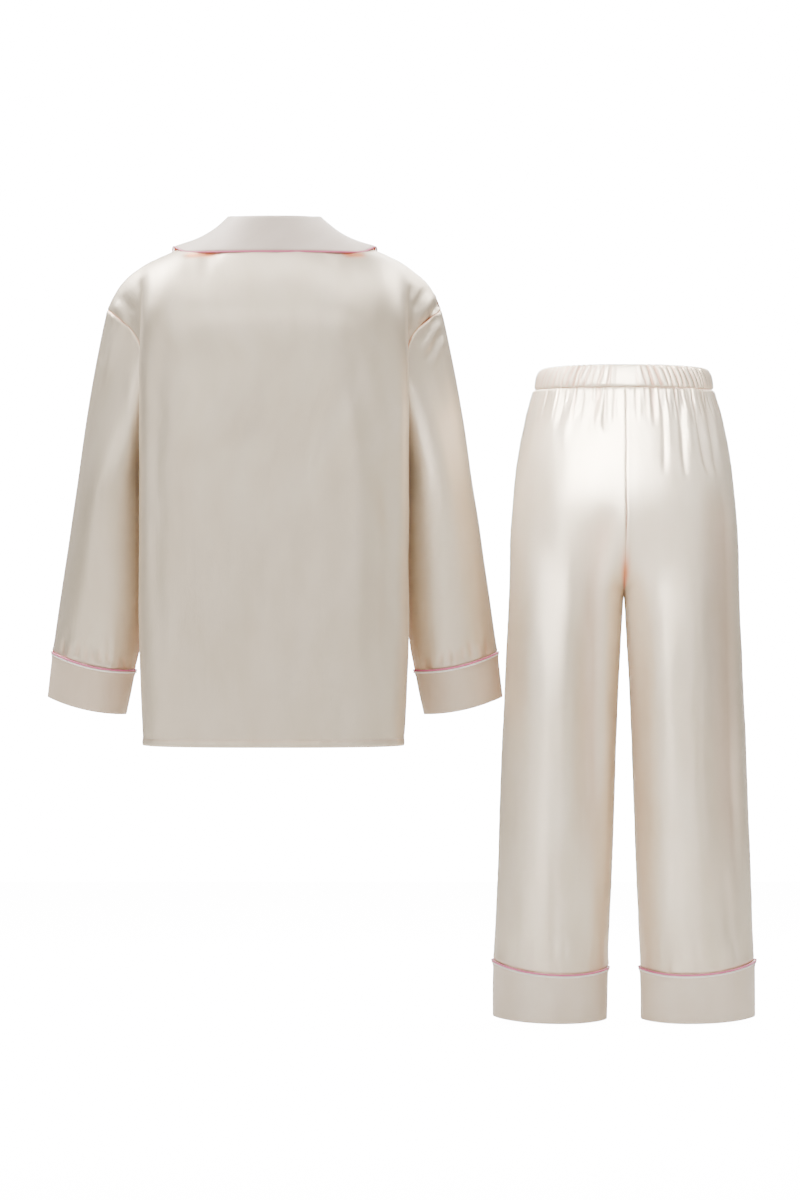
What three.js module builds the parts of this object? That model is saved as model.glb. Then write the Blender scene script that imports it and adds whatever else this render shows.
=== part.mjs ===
// Pyjama set: a long-sleeved top and wide-leg trousers, hollow and filled out as when worn.
// Millimetres. +Z is up, +Y the wearer's front and +X the wearer's right.
// The origin is at the top's neck, halfway between front and back. The trousers stand beside the top.
import * as THREE from 'three';

// Cloth and trims
const CLOTH = 1.8;
const CUFF_CLOTH = 2.4;
const COLLAR_CLOTH = 2.2;
const BAND_CLOTH = 2.6;
const SEAM_GAP = 0.3;
const TRIM_CLEAR = 0.25;
const PIPING_RADIUS = 1.2;
const PIPING_SIDES = 6;
const BUTTON_RADIUS = 5.8;
const BUTTON_THICKNESS = 2.4;

const IVORY = { color: 0xd6cdc3, roughness: 0.35, metalness: 0 };
const PINK = { color: 0xcf8a9c, roughness: 0.5, metalness: 0 };
const SHELL = { color: 0xe6ddd2, roughness: 0.25, metalness: 0 };

const RIGHT = 1;
const LEFT = -1;
const BACK = -1;
const FRONT = 1;

const vec = (x, y, z) => new THREE.Vector3(x, y, z);
const mix = (a, b, t) => a + (b - a) * t;
const degrees = (angle) => angle * Math.PI / 180;
const steps = (count) => Array.from({ length: count + 1 }, (_, i) => i / count);

function ease(t) {
  const held = Math.min(1, Math.max(0, t));
  return held * held * (3 - 2 * held);
}

// A smooth value between the rows of a table whose column `at` rises
function between(table, column, at) {
  const last = table.length - 1;
  if (at <= table[0].at) return table[0][column];
  if (at >= table[last].at) return table[last][column];
  let i = 0;
  while (at > table[i + 1].at) i += 1;
  const slope = (a, b) => (table[b][column] - table[a][column]) / (table[b].at - table[a].at);
  const leave = slope(Math.max(0, i - 1), i + 1);
  const arrive = slope(i, Math.min(last, i + 2));
  const span = table[i + 1].at - table[i].at;
  const t = (at - table[i].at) / span;
  const from = table[i][column];
  const to = table[i + 1][column];
  return from * (1 + 2 * t) * (1 - t) ** 2 + leave * span * t * (1 - t) ** 2
    + to * t * t * (3 - 2 * t) + arrive * span * t * t * (t - 1);
}

// Cloth walls

// The triangles between two rows of points, which may differ in number. Where they keep step, each
// four-sided face is split along its shorter diagonal.
function lace(vertices, rowA, rowB, closed) {
  const a = closed ? [...rowA, rowA[0]] : rowA;
  const b = closed ? [...rowB, rowB[0]] : rowB;
  const apart = (from, to) => vertices[from].distanceTo(vertices[to]);
  const triangles = [];
  let i = 0;
  let j = 0;
  while (i < a.length - 1 || j < b.length - 1) {
    const nextA = i < a.length - 1 ? (i + 1) / (a.length - 1) : Infinity;
    const nextB = j < b.length - 1 ? (j + 1) / (b.length - 1) : Infinity;
    const level = Math.abs(nextA - nextB) < 1e-9;
    const takeA = level ? apart(a[i + 1], b[j]) <= apart(a[i], b[j + 1]) : nextA < nextB;
    if (takeA) {
      triangles.push([a[i], b[j], a[i + 1]]);
      i += 1;
    } else {
      triangles.push([a[i], b[j], b[j + 1]]);
      j += 1;
    }
  }
  return triangles;
}

function solidGeometry(vertices, triangles) {
  let volume = 0;
  for (const [a, b, c] of triangles) {
    volume += vertices[a].dot(vertices[b].clone().cross(vertices[c]));
  }
  const faces = volume > 0 ? triangles : triangles.map(([a, b, c]) => [a, c, b]);
  const geometry = new THREE.BufferGeometry();
  geometry.setAttribute('position',
    new THREE.Float32BufferAttribute(vertices.flatMap((point) => point.toArray()), 3));
  geometry.setIndex(faces.flat());
  geometry.computeVertexNormals();
  return geometry;
}

// One closed wall from the rows of its outside and of its inside
function wallGeometry(outside, inside, closed) {
  const vertices = [];
  const number = (rows) => rows.map((row) => row.map((point) => vertices.push(point) - 1));
  const out = number(outside);
  const inn = number(inside);
  const triangles = [];
  for (let i = 0; i + 1 < out.length; i++) triangles.push(...lace(vertices, out[i], out[i + 1], closed));
  for (let i = 0; i + 1 < inn.length; i++) triangles.push(...lace(vertices, inn[i + 1], inn[i], closed));
  triangles.push(...lace(vertices, inn[0], out[0], closed));
  triangles.push(...lace(vertices, out.at(-1), inn.at(-1), closed));
  if (!closed) {
    const column = (rows, end) => rows.map((row) => row.at(end));
    triangles.push(...lace(vertices, column(out, 0), column(inn, 0), false));
    triangles.push(...lace(vertices, column(inn, -1), column(out, -1), false));
  }
  return solidGeometry(vertices, triangles);
}

// The direction into the garment at each point of a grid of points
function inwardOf(rows, closed, heart) {
  const at = (i, j) => {
    const row = rows[Math.min(rows.length - 1, Math.max(0, i))];
    const n = row.length;
    return closed ? row[(j + n) % n] : row[Math.min(n - 1, Math.max(0, j))];
  };
  const normals = rows.map((row, i) => row.map((_, j) => {
    const across = at(i, j + 1).clone().sub(at(i, j - 1));
    const down = at(i + 1, j).clone().sub(at(i - 1, j));
    return across.cross(down).normalize();
  }));
  let agreement = 0;
  rows.forEach((row, i) => row.forEach((point, j) => {
    agreement += normals[i][j].dot(heart.clone().sub(point));
  }));
  if (agreement < 0) normals.forEach((row) => row.forEach((normal) => normal.negate()));
  return normals;
}

// Panels wait here until all their seams are known, because two panels share their seam's direction
const panels = [];

function panel(name, rows, { closed = false, heart, sewn, gathers, group = name }) {
  const inward = inwardOf(rows, closed, heart);
  panels.push({ name, rows, closed, inward, sewn, gathers, group });
  return { rows, inward };
}

const edgePlaces = {
  top: ({ rows }) => rows[0].map((_, j) => [0, j]),
  start: ({ rows }) => rows.map((_, i) => [i, 0]),
  end: ({ rows }) => rows.map((row, i) => [i, row.length - 1]),
};
const stepIn = {
  top: (i, j) => [i + 1, j],
  start: (i, j) => [i, j + 1],
  end: (i, j) => [i, j - 1],
};
const placeKey = (point) => point.toArray().map((value) => Math.round(value * 100)).join(' ');

// Where the two cloths of a seam lie face to face, they stand back along their own thickness
const FOLDED_SEAM = 0.7;

// Panels that meet in a seam take one direction through the cloth there, and stand half a gap back
function sewPanels() {
  const shared = new Map();
  for (const item of panels) {
    for (const edge of item.sewn) {
      for (const [i, j] of edgePlaces[edge](item)) {
        const key = placeKey(item.rows[i][j]);
        if (!shared.has(key)) shared.set(key, new Map());
        const groups = shared.get(key);
        if (!groups.has(item.group)) groups.set(item.group, vec(0, 0, 0));
        groups.get(item.group).add(item.inward[i][j]);
      }
    }
  }
  for (const item of panels) {
    item.set = item.rows.map((row) => row.map((point) => point.clone()));
    item.through = item.inward.map((row) => row.map((direction) => direction.clone()));
    for (const edge of item.sewn) {
      const places = edgePlaces[edge](item);
      const placeOf = (q) => {
        const n = places.length;
        return places[item.closed ? (q + n) % n : Math.min(n - 1, Math.max(0, q))];
      };
      const spot = (q) => item.rows[placeOf(q)[0]][placeOf(q)[1]];
      const throughAt = ([i, j]) => {
        const sum = vec(0, 0, 0);
        for (const group of shared.get(placeKey(item.rows[i][j])).values()) {
          sum.add(group.clone().normalize());
        }
        return sum.normalize();
      };
      const placeThrough = (q) => throughAt(placeOf(q));
      places.forEach(([i, j], q) => {
        const through = throughAt([i, j]);
        const [inI, inJ] = stepIn[edge](i, j);
        const inside = item.rows[inI][inJ].clone().sub(item.rows[i][j]);
        const inward = item.inward[i][j];
        const square = (from, to) => {
          const along = spot(to).clone().sub(spot(from));
          const both = placeThrough(from).add(placeThrough(to));
          return along.length() > 0.01 ? [along.cross(both).normalize()] : [];
        };
        const sides = [...square(q - 1, q), ...square(q, q + 1)];
        for (const direction of sides) {
          const folded = Math.abs(direction.dot(inward)) > FOLDED_SEAM;
          if (direction.dot(folded ? inward : inside) < 0) direction.negate();
        }
        const sum = sides.reduce((total, direction) => total.add(direction), vec(0, 0, 0));
        const corner = sides.length > 1 ? 1 + sides[0].dot(sides[1]) : 1;
        const back = sum.multiplyScalar(SEAM_GAP / 2 / Math.max(0.5, corner));
        item.set[i][j].add(back);
        item.through[i][j] = through;
      });
    }
  }
}

function panelGeometry({ set, through, closed, gathers }) {
  const inside = set.map((row, i) =>
    row.map((point, j) => point.clone().addScaledVector(through[i][j], CLOTH)));
  const outside = gathers ? set.map((row, i) => gathers(row, through[i], i)) : set;
  return wallGeometry(outside, inside, closed);
}

const set = new THREE.Group();

function addMesh(name, geometry, finish) {
  const mesh = new THREE.Mesh(geometry, new THREE.MeshStandardMaterial(finish));
  mesh.name = name;
  set.add(mesh);
  return mesh;
}

// A round trim along a line of points, closed into a ring or with two flat ends
function trimGeometry(points, radius, closed, sides = PIPING_SIDES) {
  const rings = points.map((point, i) => {
    const n = points.length;
    const ahead = closed ? points[(i + 1) % n] : points[Math.min(n - 1, i + 1)];
    const behind = closed ? points[(i + n - 1) % n] : points[Math.max(0, i - 1)];
    const along = ahead.clone().sub(behind).normalize();
    const aside = along.clone().cross(vec(0, 0, 1)).normalize();
    const over = aside.clone().cross(along);
    return Array.from({ length: sides }, (_, k) => {
      const angle = degrees(360 * k / sides);
      return point.clone().addScaledVector(aside, radius * Math.cos(angle))
        .addScaledVector(over, radius * Math.sin(angle));
    });
  });
  const vertices = [];
  const rows = rings.map((ring) => ring.map((point) => vertices.push(point) - 1));
  const triangles = [];
  for (let i = 0; i + 1 < rows.length; i++) triangles.push(...lace(vertices, rows[i], rows[i + 1], true));
  if (closed) {
    triangles.push(...lace(vertices, rows.at(-1), rows[0], true));
  } else {
    for (let k = 1; k + 1 < sides; k++) {
      triangles.push([rows[0][0], rows[0][k], rows[0][k + 1]]);
      triangles.push([rows.at(-1)[0], rows.at(-1)[k + 1], rows.at(-1)[k]]);
    }
  }
  return solidGeometry(vertices, triangles);
}

// The top's body

// The armhole is an upright loop: its height and depth are round, and it leans in by this table
const ARMHOLE = { middle: -188, halfHeight: 103, centreY: 6, halfDepth: 62, step: 15 };
const ARMHOLE_REACH = [
  { at: -291, x: 172 },
  { at: -240, x: 177 },
  { at: -190, x: 183 },
  { at: -145, x: 189 },
  { at: -121, x: 196 },
  { at: -100, x: 219 },
  { at: -85, x: 238 },
];

function armholePoint(side, face, angle) {
  const z = ARMHOLE.middle + ARMHOLE.halfHeight * Math.cos(degrees(angle));
  const y = ARMHOLE.centreY + face * ARMHOLE.halfDepth * Math.sin(degrees(angle));
  return vec(side * between(ARMHOLE_REACH, 'x', z), y, z);
}

// The shoulder seam from the neck to the tip of the dropped shoulder
const SHOULDER = [
  { x: 75, y: -2, z: 20 },
  { x: 105, y: -1, z: 12 },
  { x: 130, y: 0, z: 4 },
  { x: 150, y: 1, z: -4 },
  { x: 168, y: 2, z: -12 },
  { x: 187, y: 3, z: -22 },
  { x: 214, y: 4, z: -43 },
  { x: 229, y: 5, z: -64 },
  { x: 238, y: 6, z: -85 },
];
const BACK_NECK = [
  { x: 0, y: -66, z: 8 },
  { x: 32, y: -60, z: 10 },
  { x: 58, y: -40, z: 14 },
];
const FOLD_COLUMN = 8;
const EDGE_COLUMN = 11;
const NECK_COLUMNS = BACK_NECK.length;

// Level sections of the body below the chest, from the hem up
const BODY = [
  { at: -705, fold: 184, foldY: -60, back: 127, side: 171, front: 131, corner: 165 },
  { at: -560, fold: 190, foldY: -62, back: 130, side: 174, front: 133, corner: 169 },
  { at: -400, fold: 190, foldY: -63, back: 130, side: 174, front: 133, corner: 169 },
  { at: -291, fold: 190, foldY: -64, back: 129, side: 172, front: 131, corner: 168 },
  { at: -160, fold: 190, foldY: -64, back: 124, side: 172, front: 122, corner: 168 },
];
const CORNER_Y = 58;
const ROUNDNESS = 2.6;
const CHEST_ROW = 6;
const UNDERARM_ROW = 12;
const CHEST = { middle: -160, edge: ARMHOLE.middle };
const UNDERARM_Z = ARMHOLE.middle - ARMHOLE.halfHeight;
const LOWER_ROWS = [-350, -430, -520, -610, -699];
const HEM_ROW = UNDERARM_ROW + LOWER_ROWS.length;
const HEM_SAG = 6;

// How far down a row lies at a column: the middle of the back drops before its edges do
function rowHeight(row, column) {
  if (row > UNDERARM_ROW) {
    const z = LOWER_ROWS[row - UNDERARM_ROW - 1];
    const sag = row === HEM_ROW ? HEM_SAG : 0;
    return z - sag * (1 - (column / EDGE_COLUMN) ** 2);
  }
  const share = (row - CHEST_ROW) / (UNDERARM_ROW - CHEST_ROW);
  const middle = mix(CHEST.middle, UNDERARM_Z, share);
  const edge = ARMHOLE.middle + ARMHOLE.halfHeight * Math.cos(degrees(row * ARMHOLE.step));
  return mix(middle, edge, (column / EDGE_COLUMN) ** 2);
}

function bodyEdge(side, face, row) {
  if (row <= UNDERARM_ROW) return armholePoint(side, face, row * ARMHOLE.step);
  const z = rowHeight(row, EDGE_COLUMN);
  return vec(side * between(BODY, 'side', z), ARMHOLE.centreY, z);
}

// From the folded side of the back to the panel's edge
function pastFold(side, fold, edge, column) {
  const t = (column - FOLD_COLUMN) / (EDGE_COLUMN - FOLD_COLUMN);
  const x = mix(fold.x, edge.x, t ** 0.5);
  return vec(x, mix(fold.y, edge.y, t), mix(fold.z, edge.z, t));
}

function levelBackPoint(side, row, column) {
  const z = rowHeight(row, Math.min(column, FOLD_COLUMN));
  const foldX = between(BODY, 'fold', z);
  const foldY = between(BODY, 'foldY', z);
  const depth = between(BODY, 'back', z);
  const turn = degrees(90 * Math.min(column, FOLD_COLUMN) / FOLD_COLUMN);
  const x = side * foldX * Math.sin(turn) ** (2 / ROUNDNESS);
  const y = foldY - (depth + foldY) * Math.max(0, Math.cos(turn)) ** (2 / ROUNDNESS);
  const point = vec(x, y, z);
  return column <= FOLD_COLUMN ? point : pastFold(side, point, bodyEdge(side, BACK, row), column);
}

function shoulderPoint(side, column) {
  const start = column < NECK_COLUMNS ? BACK_NECK[column] : SHOULDER[column - NECK_COLUMNS];
  return vec(side * start.x, start.y, start.z);
}

// A column between the shoulder and the chest is a quarter round, flatter near the neck
function overShoulder(from, to, share, hump) {
  const turn = degrees(90 * share);
  const out = mix(share, Math.sin(turn), hump);
  const down = mix(share, 1 - Math.cos(turn), hump);
  return vec(mix(from.x, to.x, share), mix(from.y, to.y, out), mix(from.z, to.z, down));
}

const DROP_BULGE = 8;
const DROP_ROWS = 5;

function upperPoint(side, row, column, from, to, edge) {
  const share = row / CHEST_ROW;
  const hump = mix(0.4, 0.95, ease(column / 6));
  if (column <= FOLD_COLUMN) return overShoulder(from(column), to(column), share, hump);
  if (column === EDGE_COLUMN || row === 0) return column === EDGE_COLUMN ? edge : from(column);
  const fold = overShoulder(from(FOLD_COLUMN), to(FOLD_COLUMN), share, hump);
  const t = (column - FOLD_COLUMN) / (EDGE_COLUMN - FOLD_COLUMN);
  const bulge = DROP_BULGE * Math.max(0, 1 - row / DROP_ROWS) * 4 * t * (1 - t);
  return fold.lerp(edge, t).add(vec(side * 0.6 * bulge, 0, 0.7 * bulge));
}

function backPoint(side, row, column) {
  if (row >= CHEST_ROW) {
    if (column === EDGE_COLUMN) return bodyEdge(side, BACK, row);
    return levelBackPoint(side, row, column);
  }
  const from = (place) => shoulderPoint(side, place);
  const to = (place) => levelBackPoint(side, CHEST_ROW, place);
  return upperPoint(side, row, column, from, to, bodyEdge(side, BACK, row));
}

function buildBack() {
  const rows = steps(HEM_ROW).map((_, row) => {
    const left = [];
    const right = [];
    for (let column = EDGE_COLUMN; column > 0; column--) left.push(backPoint(LEFT, row, column));
    for (let column = 1; column <= EDGE_COLUMN; column++) right.push(backPoint(RIGHT, row, column));
    return [...left, backPoint(RIGHT, row, 0), ...right];
  });
  panel('jacket_back', rows, { heart: vec(0, 0, -300), sewn: ['top', 'start', 'end'], group: 'body' });
}

// The two fronts lap over each other at the middle and fall open above the top button
const LAP = 18;
const OVERLAP = 2.6;
const LIFTED = { until: 26, fade: 75 };
const BREAK_ROW = 10;
const FRONT_SPREAD = [0, 0.23, 0.44, 0.64, 0.84, 1];

function neckEdgeX(row) {
  return mix(SHOULDER[0].x, -LAP, Math.min(1, row / BREAK_ROW) ** 0.9);
}

function levelFrontPoint(side, row, column) {
  const z = rowHeight(row, Math.min(column, FOLD_COLUMN));
  const corner = between(BODY, 'corner', z);
  const depth = between(BODY, 'front', z);
  const place = Math.min(column, FOLD_COLUMN) - NECK_COLUMNS;
  const x = mix(neckEdgeX(row), corner, FRONT_SPREAD[place]);
  const reach = Math.min(1, Math.abs(x) / corner);
  const round = Math.max(0, 1 - reach ** ROUNDNESS) ** (1 / ROUNDNESS);
  const lift = side === RIGHT ? OVERLAP * (1 - ease((x - LIFTED.until) / LIFTED.fade)) : 0;
  const point = vec(side * x, CORNER_Y + (depth - CORNER_Y) * round + lift, z);
  return column <= FOLD_COLUMN ? point : pastFold(side, point, bodyEdge(side, FRONT, row), column);
}

function frontPoint(side, row, column) {
  if (row >= CHEST_ROW) {
    if (column === EDGE_COLUMN) return bodyEdge(side, FRONT, row);
    return levelFrontPoint(side, row, column);
  }
  const from = (place) => shoulderPoint(side, place);
  const to = (place) => levelFrontPoint(side, CHEST_ROW, place);
  return upperPoint(side, row, column, from, to, bodyEdge(side, FRONT, row));
}

function buildFront(side, name) {
  const rows = steps(HEM_ROW).map((_, row) => {
    const points = [];
    for (let column = NECK_COLUMNS; column <= EDGE_COLUMN; column++) {
      points.push(frontPoint(side, row, column));
    }
    return points;
  });
  return panel(name, rows, { heart: vec(0, 0, -300), sewn: ['top', 'end'], group: 'body' });
}

// Sleeves

// Slanted rings below the armhole: their outer and inner ends as seen from behind
const SLEEVE = [
  { at: 0, outerX: 281, outerZ: -328, innerX: 185, innerZ: -336, centreY: 17, halfDepth: 78, drop: 0 },
  { at: 1, outerX: 291, outerZ: -396, innerX: 186, innerZ: -410, centreY: 24, halfDepth: 73, drop: 2 },
  { at: 2, outerX: 303, outerZ: -478, innerX: 187, innerZ: -496, centreY: 32, halfDepth: 66, drop: 4 },
  { at: 3, outerX: 311, outerZ: -530, innerX: 190, innerZ: -552, centreY: 37, halfDepth: 61, drop: 6 },
  { at: 4, outerX: 316.5, outerZ: -571, innerX: 199.5, innerZ: -597, centreY: 42, halfDepth: 58, drop: 8 },
];
const SLEEVE_CUFF = [
  { at: 0, outerX: 317, outerZ: -571, innerX: 199, innerZ: -597, centreY: 42, halfDepth: 59, drop: 8 },
  { at: 1, outerX: 321, outerZ: -604, innerX: 205, innerZ: -629, centreY: 46, halfDepth: 59, drop: 7 },
  { at: 2, outerX: 324.5, outerZ: -635, innerX: 212, innerZ: -660, centreY: 50, halfDepth: 58, drop: 6 },
];
const SLEEVE_COLUMNS = 24;
const CAP_ROWS = 5;
const RING_ROWS = 5;
const CAP_BULGE = 3;
const UNDERARM_BULGE = 6;

// A ring starts at its outer end and runs round by the back
function slantedRing(table, at, side, columns) {
  const value = (column) => between(table, column, at);
  const middle = vec(mix(value('outerX'), value('innerX'), 0.5), value('centreY'),
    mix(value('outerZ'), value('innerZ'), 0.5));
  const halfX = (value('outerX') - value('innerX')) / 2;
  const halfZ = (value('outerZ') - value('innerZ')) / 2;
  return Array.from({ length: columns }, (_, k) => {
    const angle = degrees(360 * k / columns);
    const behind = Math.max(0, Math.sin(angle));
    const x = middle.x + halfX * Math.cos(angle);
    const y = middle.y - value('halfDepth') * Math.sin(angle);
    const z = middle.z + halfZ * Math.cos(angle) - value('drop') * behind ** 2;
    return vec(side * x, y, z);
  });
}

function armholeRing(side) {
  return Array.from({ length: SLEEVE_COLUMNS }, (_, k) => {
    const angle = k * ARMHOLE.step;
    return angle <= 180 ? armholePoint(side, BACK, angle) : armholePoint(side, FRONT, 360 - angle);
  });
}

function buildSleeve(side, name) {
  const cap = armholeRing(side);
  const first = slantedRing(SLEEVE, 0, side, SLEEVE_COLUMNS);
  const rows = steps(CAP_ROWS).slice(0, -1).map((share) => cap.map((point, k) => {
    const outward = Math.cos(degrees(k * ARMHOLE.step));
    const swell = outward > 0 ? CAP_BULGE * outward : UNDERARM_BULGE * (0.3 - outward);
    const bulge = 4 * share * (1 - share) * swell;
    return point.clone().lerp(first[k], share).add(vec(side * bulge, 0, 0));
  }));
  for (const share of steps(RING_ROWS)) {
    rows.push(slantedRing(SLEEVE, share * (SLEEVE.length - 1), side, SLEEVE_COLUMNS));
  }
  panel(name, rows, { closed: true, heart: vec(side * 240, 20, -350), sewn: ['top'] });
}

// Cuffs and pipings: the cuff's ring is moved just clear of the cloth above it

function tubeWall(name, rows, thick, heart) {
  const inward = inwardOf(rows, true, heart);
  const inside = rows.map((row, i) =>
    row.map((point, j) => point.clone().addScaledVector(inward[i][j], thick)));
  addMesh(name, wallGeometry(rows, inside, true), IVORY);
}

// A piping lies outside the seam, clear of the cloth
function pipingRing(name, ring) {
  const heart = ring.reduce((sum, point) => sum.add(point), vec(0, 0, 0)).divideScalar(ring.length);
  const clear = SEAM_GAP + PIPING_RADIUS + TRIM_CLEAR;
  const line = ring.map((point, k) => {
    const n = ring.length;
    const along = ring[(k + 1) % n].clone().sub(ring[(k + n - 1) % n]);
    const out = along.cross(vec(0, 0, 1)).normalize();
    if (out.dot(point.clone().sub(heart)) < 0) out.negate();
    return point.clone().addScaledVector(out, clear);
  });
  addMesh(name, trimGeometry(line, PIPING_RADIUS, true), PINK);
}

const lower = (row, drop) => row.map((point) => point.clone().add(vec(0, 0, -drop)));

function buildSleeveCuff(side, name, pipingName) {
  const rows = steps(2).map((share) =>
    slantedRing(SLEEVE_CUFF, share * (SLEEVE_CUFF.length - 1), side, SLEEVE_COLUMNS));
  rows[0] = lower(rows[0], SEAM_GAP + TRIM_CLEAR);
  tubeWall(name, rows, CUFF_CLOTH, vec(side * 262, 46, -615));
  pipingRing(pipingName, slantedRing(SLEEVE_CUFF, 0, side, SLEEVE_COLUMNS));
}

// Trousers

const TROUSERS_X = 496;
const HIPS = [
  { at: -600, half: 168, back: 112, front: 104 },
  { at: -470, half: 163, back: 116, front: 106 },
  { at: -412, half: 161.5, back: 118, front: 107 },
  { at: -355, half: 157.5, back: 118, front: 106 },
  { at: -298, half: 151.5, back: 115, front: 104 },
  { at: -241, half: 139.5, back: 106, front: 100 },
  { at: -213, half: 130.5, back: 100, front: 96 },
  { at: -199, half: 126, back: 97, front: 94 },
];
const LEGS = [
  { at: -1012, outer: 184.5, inner: 23, half: 86 },
  { at: -951, outer: 182, inner: 20.6, half: 88 },
  { at: -838, outer: 178, inner: 16, half: 92 },
  { at: -724, outer: 174, inner: 12, half: 97 },
  { at: -639, outer: 170, inner: 8.5, half: 101 },
  { at: -582, outer: 168, inner: 5.7, half: 104 },
  { at: -520, outer: 165, inner: 2.2, half: 107 },
  { at: -483, outer: 163.5, inner: 0, half: 109 },
];
const CROTCH = { top: -380, foot: -483, legTop: -320, legFoot: -650 };
const HIP_ROUNDNESS = 2.25;
const LEG_ROUNDNESS = 2.2;
const LEG_ROWS = [
  -199, -222, -250, -285, -330, -380, -412, -440, -461, -475, -483,
  -520, -582, -660, -760, -870, -960, -1012,
];
const PANEL_COLUMNS = 12;
const GATHER_FADE = [0.75, 1, 0.6, 0.25];
const GATHERS_PER_PANEL = 12;
const GATHER_RISE = 3;
const LEG_TILT = 5;
const LEG_HEM_SAG = 13;
const HEM_SLANT = { from: -820, reach: 190 };
const WAIST_TILT = 0.03;
const WAIST_REACH = 50;
const WAIST_GAP = 1;

// A fold sinks along y by its depth times y over the distance to the middle, never less than this
const LEAST_REACH = 60;

const power = (value, roundness) => Math.sign(value) * Math.abs(value) ** (2 / roundness);

// The soft upright folds of the legs: place across the panel, depth, width and reach
const LEG_FOLDS = [
  { side: LEFT, face: BACK, across: 0.62, depth: 6, width: 0.09, top: -480, foot: -1000 },
  { side: LEFT, face: BACK, across: 0.3, depth: -4, width: 0.12, top: -420, foot: -1000 },
  { side: RIGHT, face: BACK, across: 0.36, depth: 6, width: 0.09, top: -420, foot: -980 },
  { side: RIGHT, face: BACK, across: 0.66, depth: -4, width: 0.12, top: -480, foot: -1000 },
  { side: LEFT, face: FRONT, across: 0.45, depth: 6, width: 0.1, top: -450, foot: -990 },
  { side: RIGHT, face: FRONT, across: 0.5, depth: 6, width: 0.1, top: -440, foot: -990 },
];

function foldDepth(side, face, across, z) {
  let depth = 0;
  for (const fold of LEG_FOLDS) {
    if (fold.side !== side || fold.face !== face) continue;
    const near = Math.exp(-(((across - fold.across) / fold.width) ** 2));
    const fade = ease((fold.top - z) / 120) * ease((z - fold.foot) / 60);
    depth += fold.depth * near * fade;
  }
  return depth;
}

// Across is 0 at the side seam and 1 at the middle seam, which becomes the inside leg below the fork
function legPoint(side, face, across, z) {
  const hipTurn = degrees(90 * across);
  const legTurn = degrees(180 * across);
  const hipDepth = between(HIPS, face === BACK ? 'back' : 'front', z);
  const hipX = between(HIPS, 'half', z) * power(Math.cos(hipTurn), HIP_ROUNDNESS);
  const hipY = hipDepth * power(Math.sin(hipTurn), HIP_ROUNDNESS);
  const outer = between(LEGS, 'outer', z);
  const inner = between(LEGS, 'inner', z);
  const legX = mix(inner, outer, 0.5) + (outer - inner) / 2 * power(Math.cos(legTurn), LEG_ROUNDNESS);
  const legY = between(LEGS, 'half', z) * power(Math.sin(legTurn), LEG_ROUNDNESS);
  const round = Math.min(1, Math.max(0, (CROTCH.top - z) / (CROTCH.top - CROTCH.foot)));
  const seam = 1 - Math.sqrt(1 - round * round);
  const cloth = ease((CROTCH.legTop - z) / (CROTCH.legTop - CROTCH.legFoot));
  const leg = mix(cloth, seam, across ** 5);
  const fold = foldDepth(side, face, across, z);
  const x = Math.max(0, mix(hipX, legX, leg));
  const y = mix(hipY, legY, leg);
  const shrink = 1 - fold / Math.max(LEAST_REACH, Math.hypot(x, y));
  return vec(side * x, face * y * shrink, z);
}

// The hem follows the leg's slant and hangs lower at the back
function hemDrop(point, side, z, tilt, sag) {
  const outer = between(LEGS, 'outer', z);
  const inner = between(LEGS, 'inner', z);
  const place = (side * point.x - mix(inner, outer, 0.5)) / ((outer - inner) / 2);
  const behind = Math.max(0, -point.y / between(LEGS, 'half', z));
  return tilt * place - sag * behind ** 2;
}

function trouserRow(side, face, z) {
  return steps(PANEL_COLUMNS).map((across) => {
    const point = legPoint(side, face, across, z);
    const hem = ease((HEM_SLANT.from - z) / HEM_SLANT.reach);
    const waist = 1 - ease((LEG_ROWS[0] - z) / WAIST_REACH);
    point.z += hem * hemDrop(point, side, z, LEG_TILT, LEG_HEM_SAG) - waist * WAIST_TILT * point.y;
    return point.add(vec(TROUSERS_X, 0, 0));
  });
}

// Gathers stand out from the plain cloth and fade down; they are uneven in width and height
function gatherRow(row, through, index) {
  if (index >= GATHER_FADE.length) return row;
  const fade = GATHER_FADE[index];
  const fine = [];
  const folds = GATHERS_PER_PANEL * 2;
  for (let k = 0; k <= folds; k++) {
    const crest = k % 2 === 1;
    const uneven = 0.18 * Math.sin(k * 2.4) * (crest ? 1 : 0);
    const place = (k + uneven) / folds * (row.length - 1);
    const j = Math.min(row.length - 2, Math.floor(place));
    const point = row[j].clone().lerp(row[j + 1], place - j);
    const inward = through[j].clone().lerp(through[j + 1], place - j).normalize();
    const rise = crest ? GATHER_RISE * fade * (1 + 0.35 * Math.sin(k * 1.7)) : 0;
    fine.push(point.addScaledVector(inward, -rise));
  }
  return fine;
}

function buildTrouserPanel(side, face, name) {
  const rows = LEG_ROWS.map((z) => trouserRow(side, face, z));
  rows[0] = lower(rows[0], WAIST_GAP);
  panel(name, rows, {
    heart: vec(TROUSERS_X + side * 85, 0, -600),
    sewn: ['start', 'end'],
    gathers: gatherRow,
  });
}

const LEG_CUFF = [
  { at: -1089, outer: 186.5, inner: 23.6, half: 86, tilt: 2, sag: 6 },
  { at: -1050, outer: 186.5, inner: 23.2, half: 87, tilt: 3.5, sag: 9 },
  { at: -1013, outer: 185.8, inner: 22.6, half: 87.2, tilt: 5, sag: 13 },
];
const LEG_CUFF_COLUMNS = 28;

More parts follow.
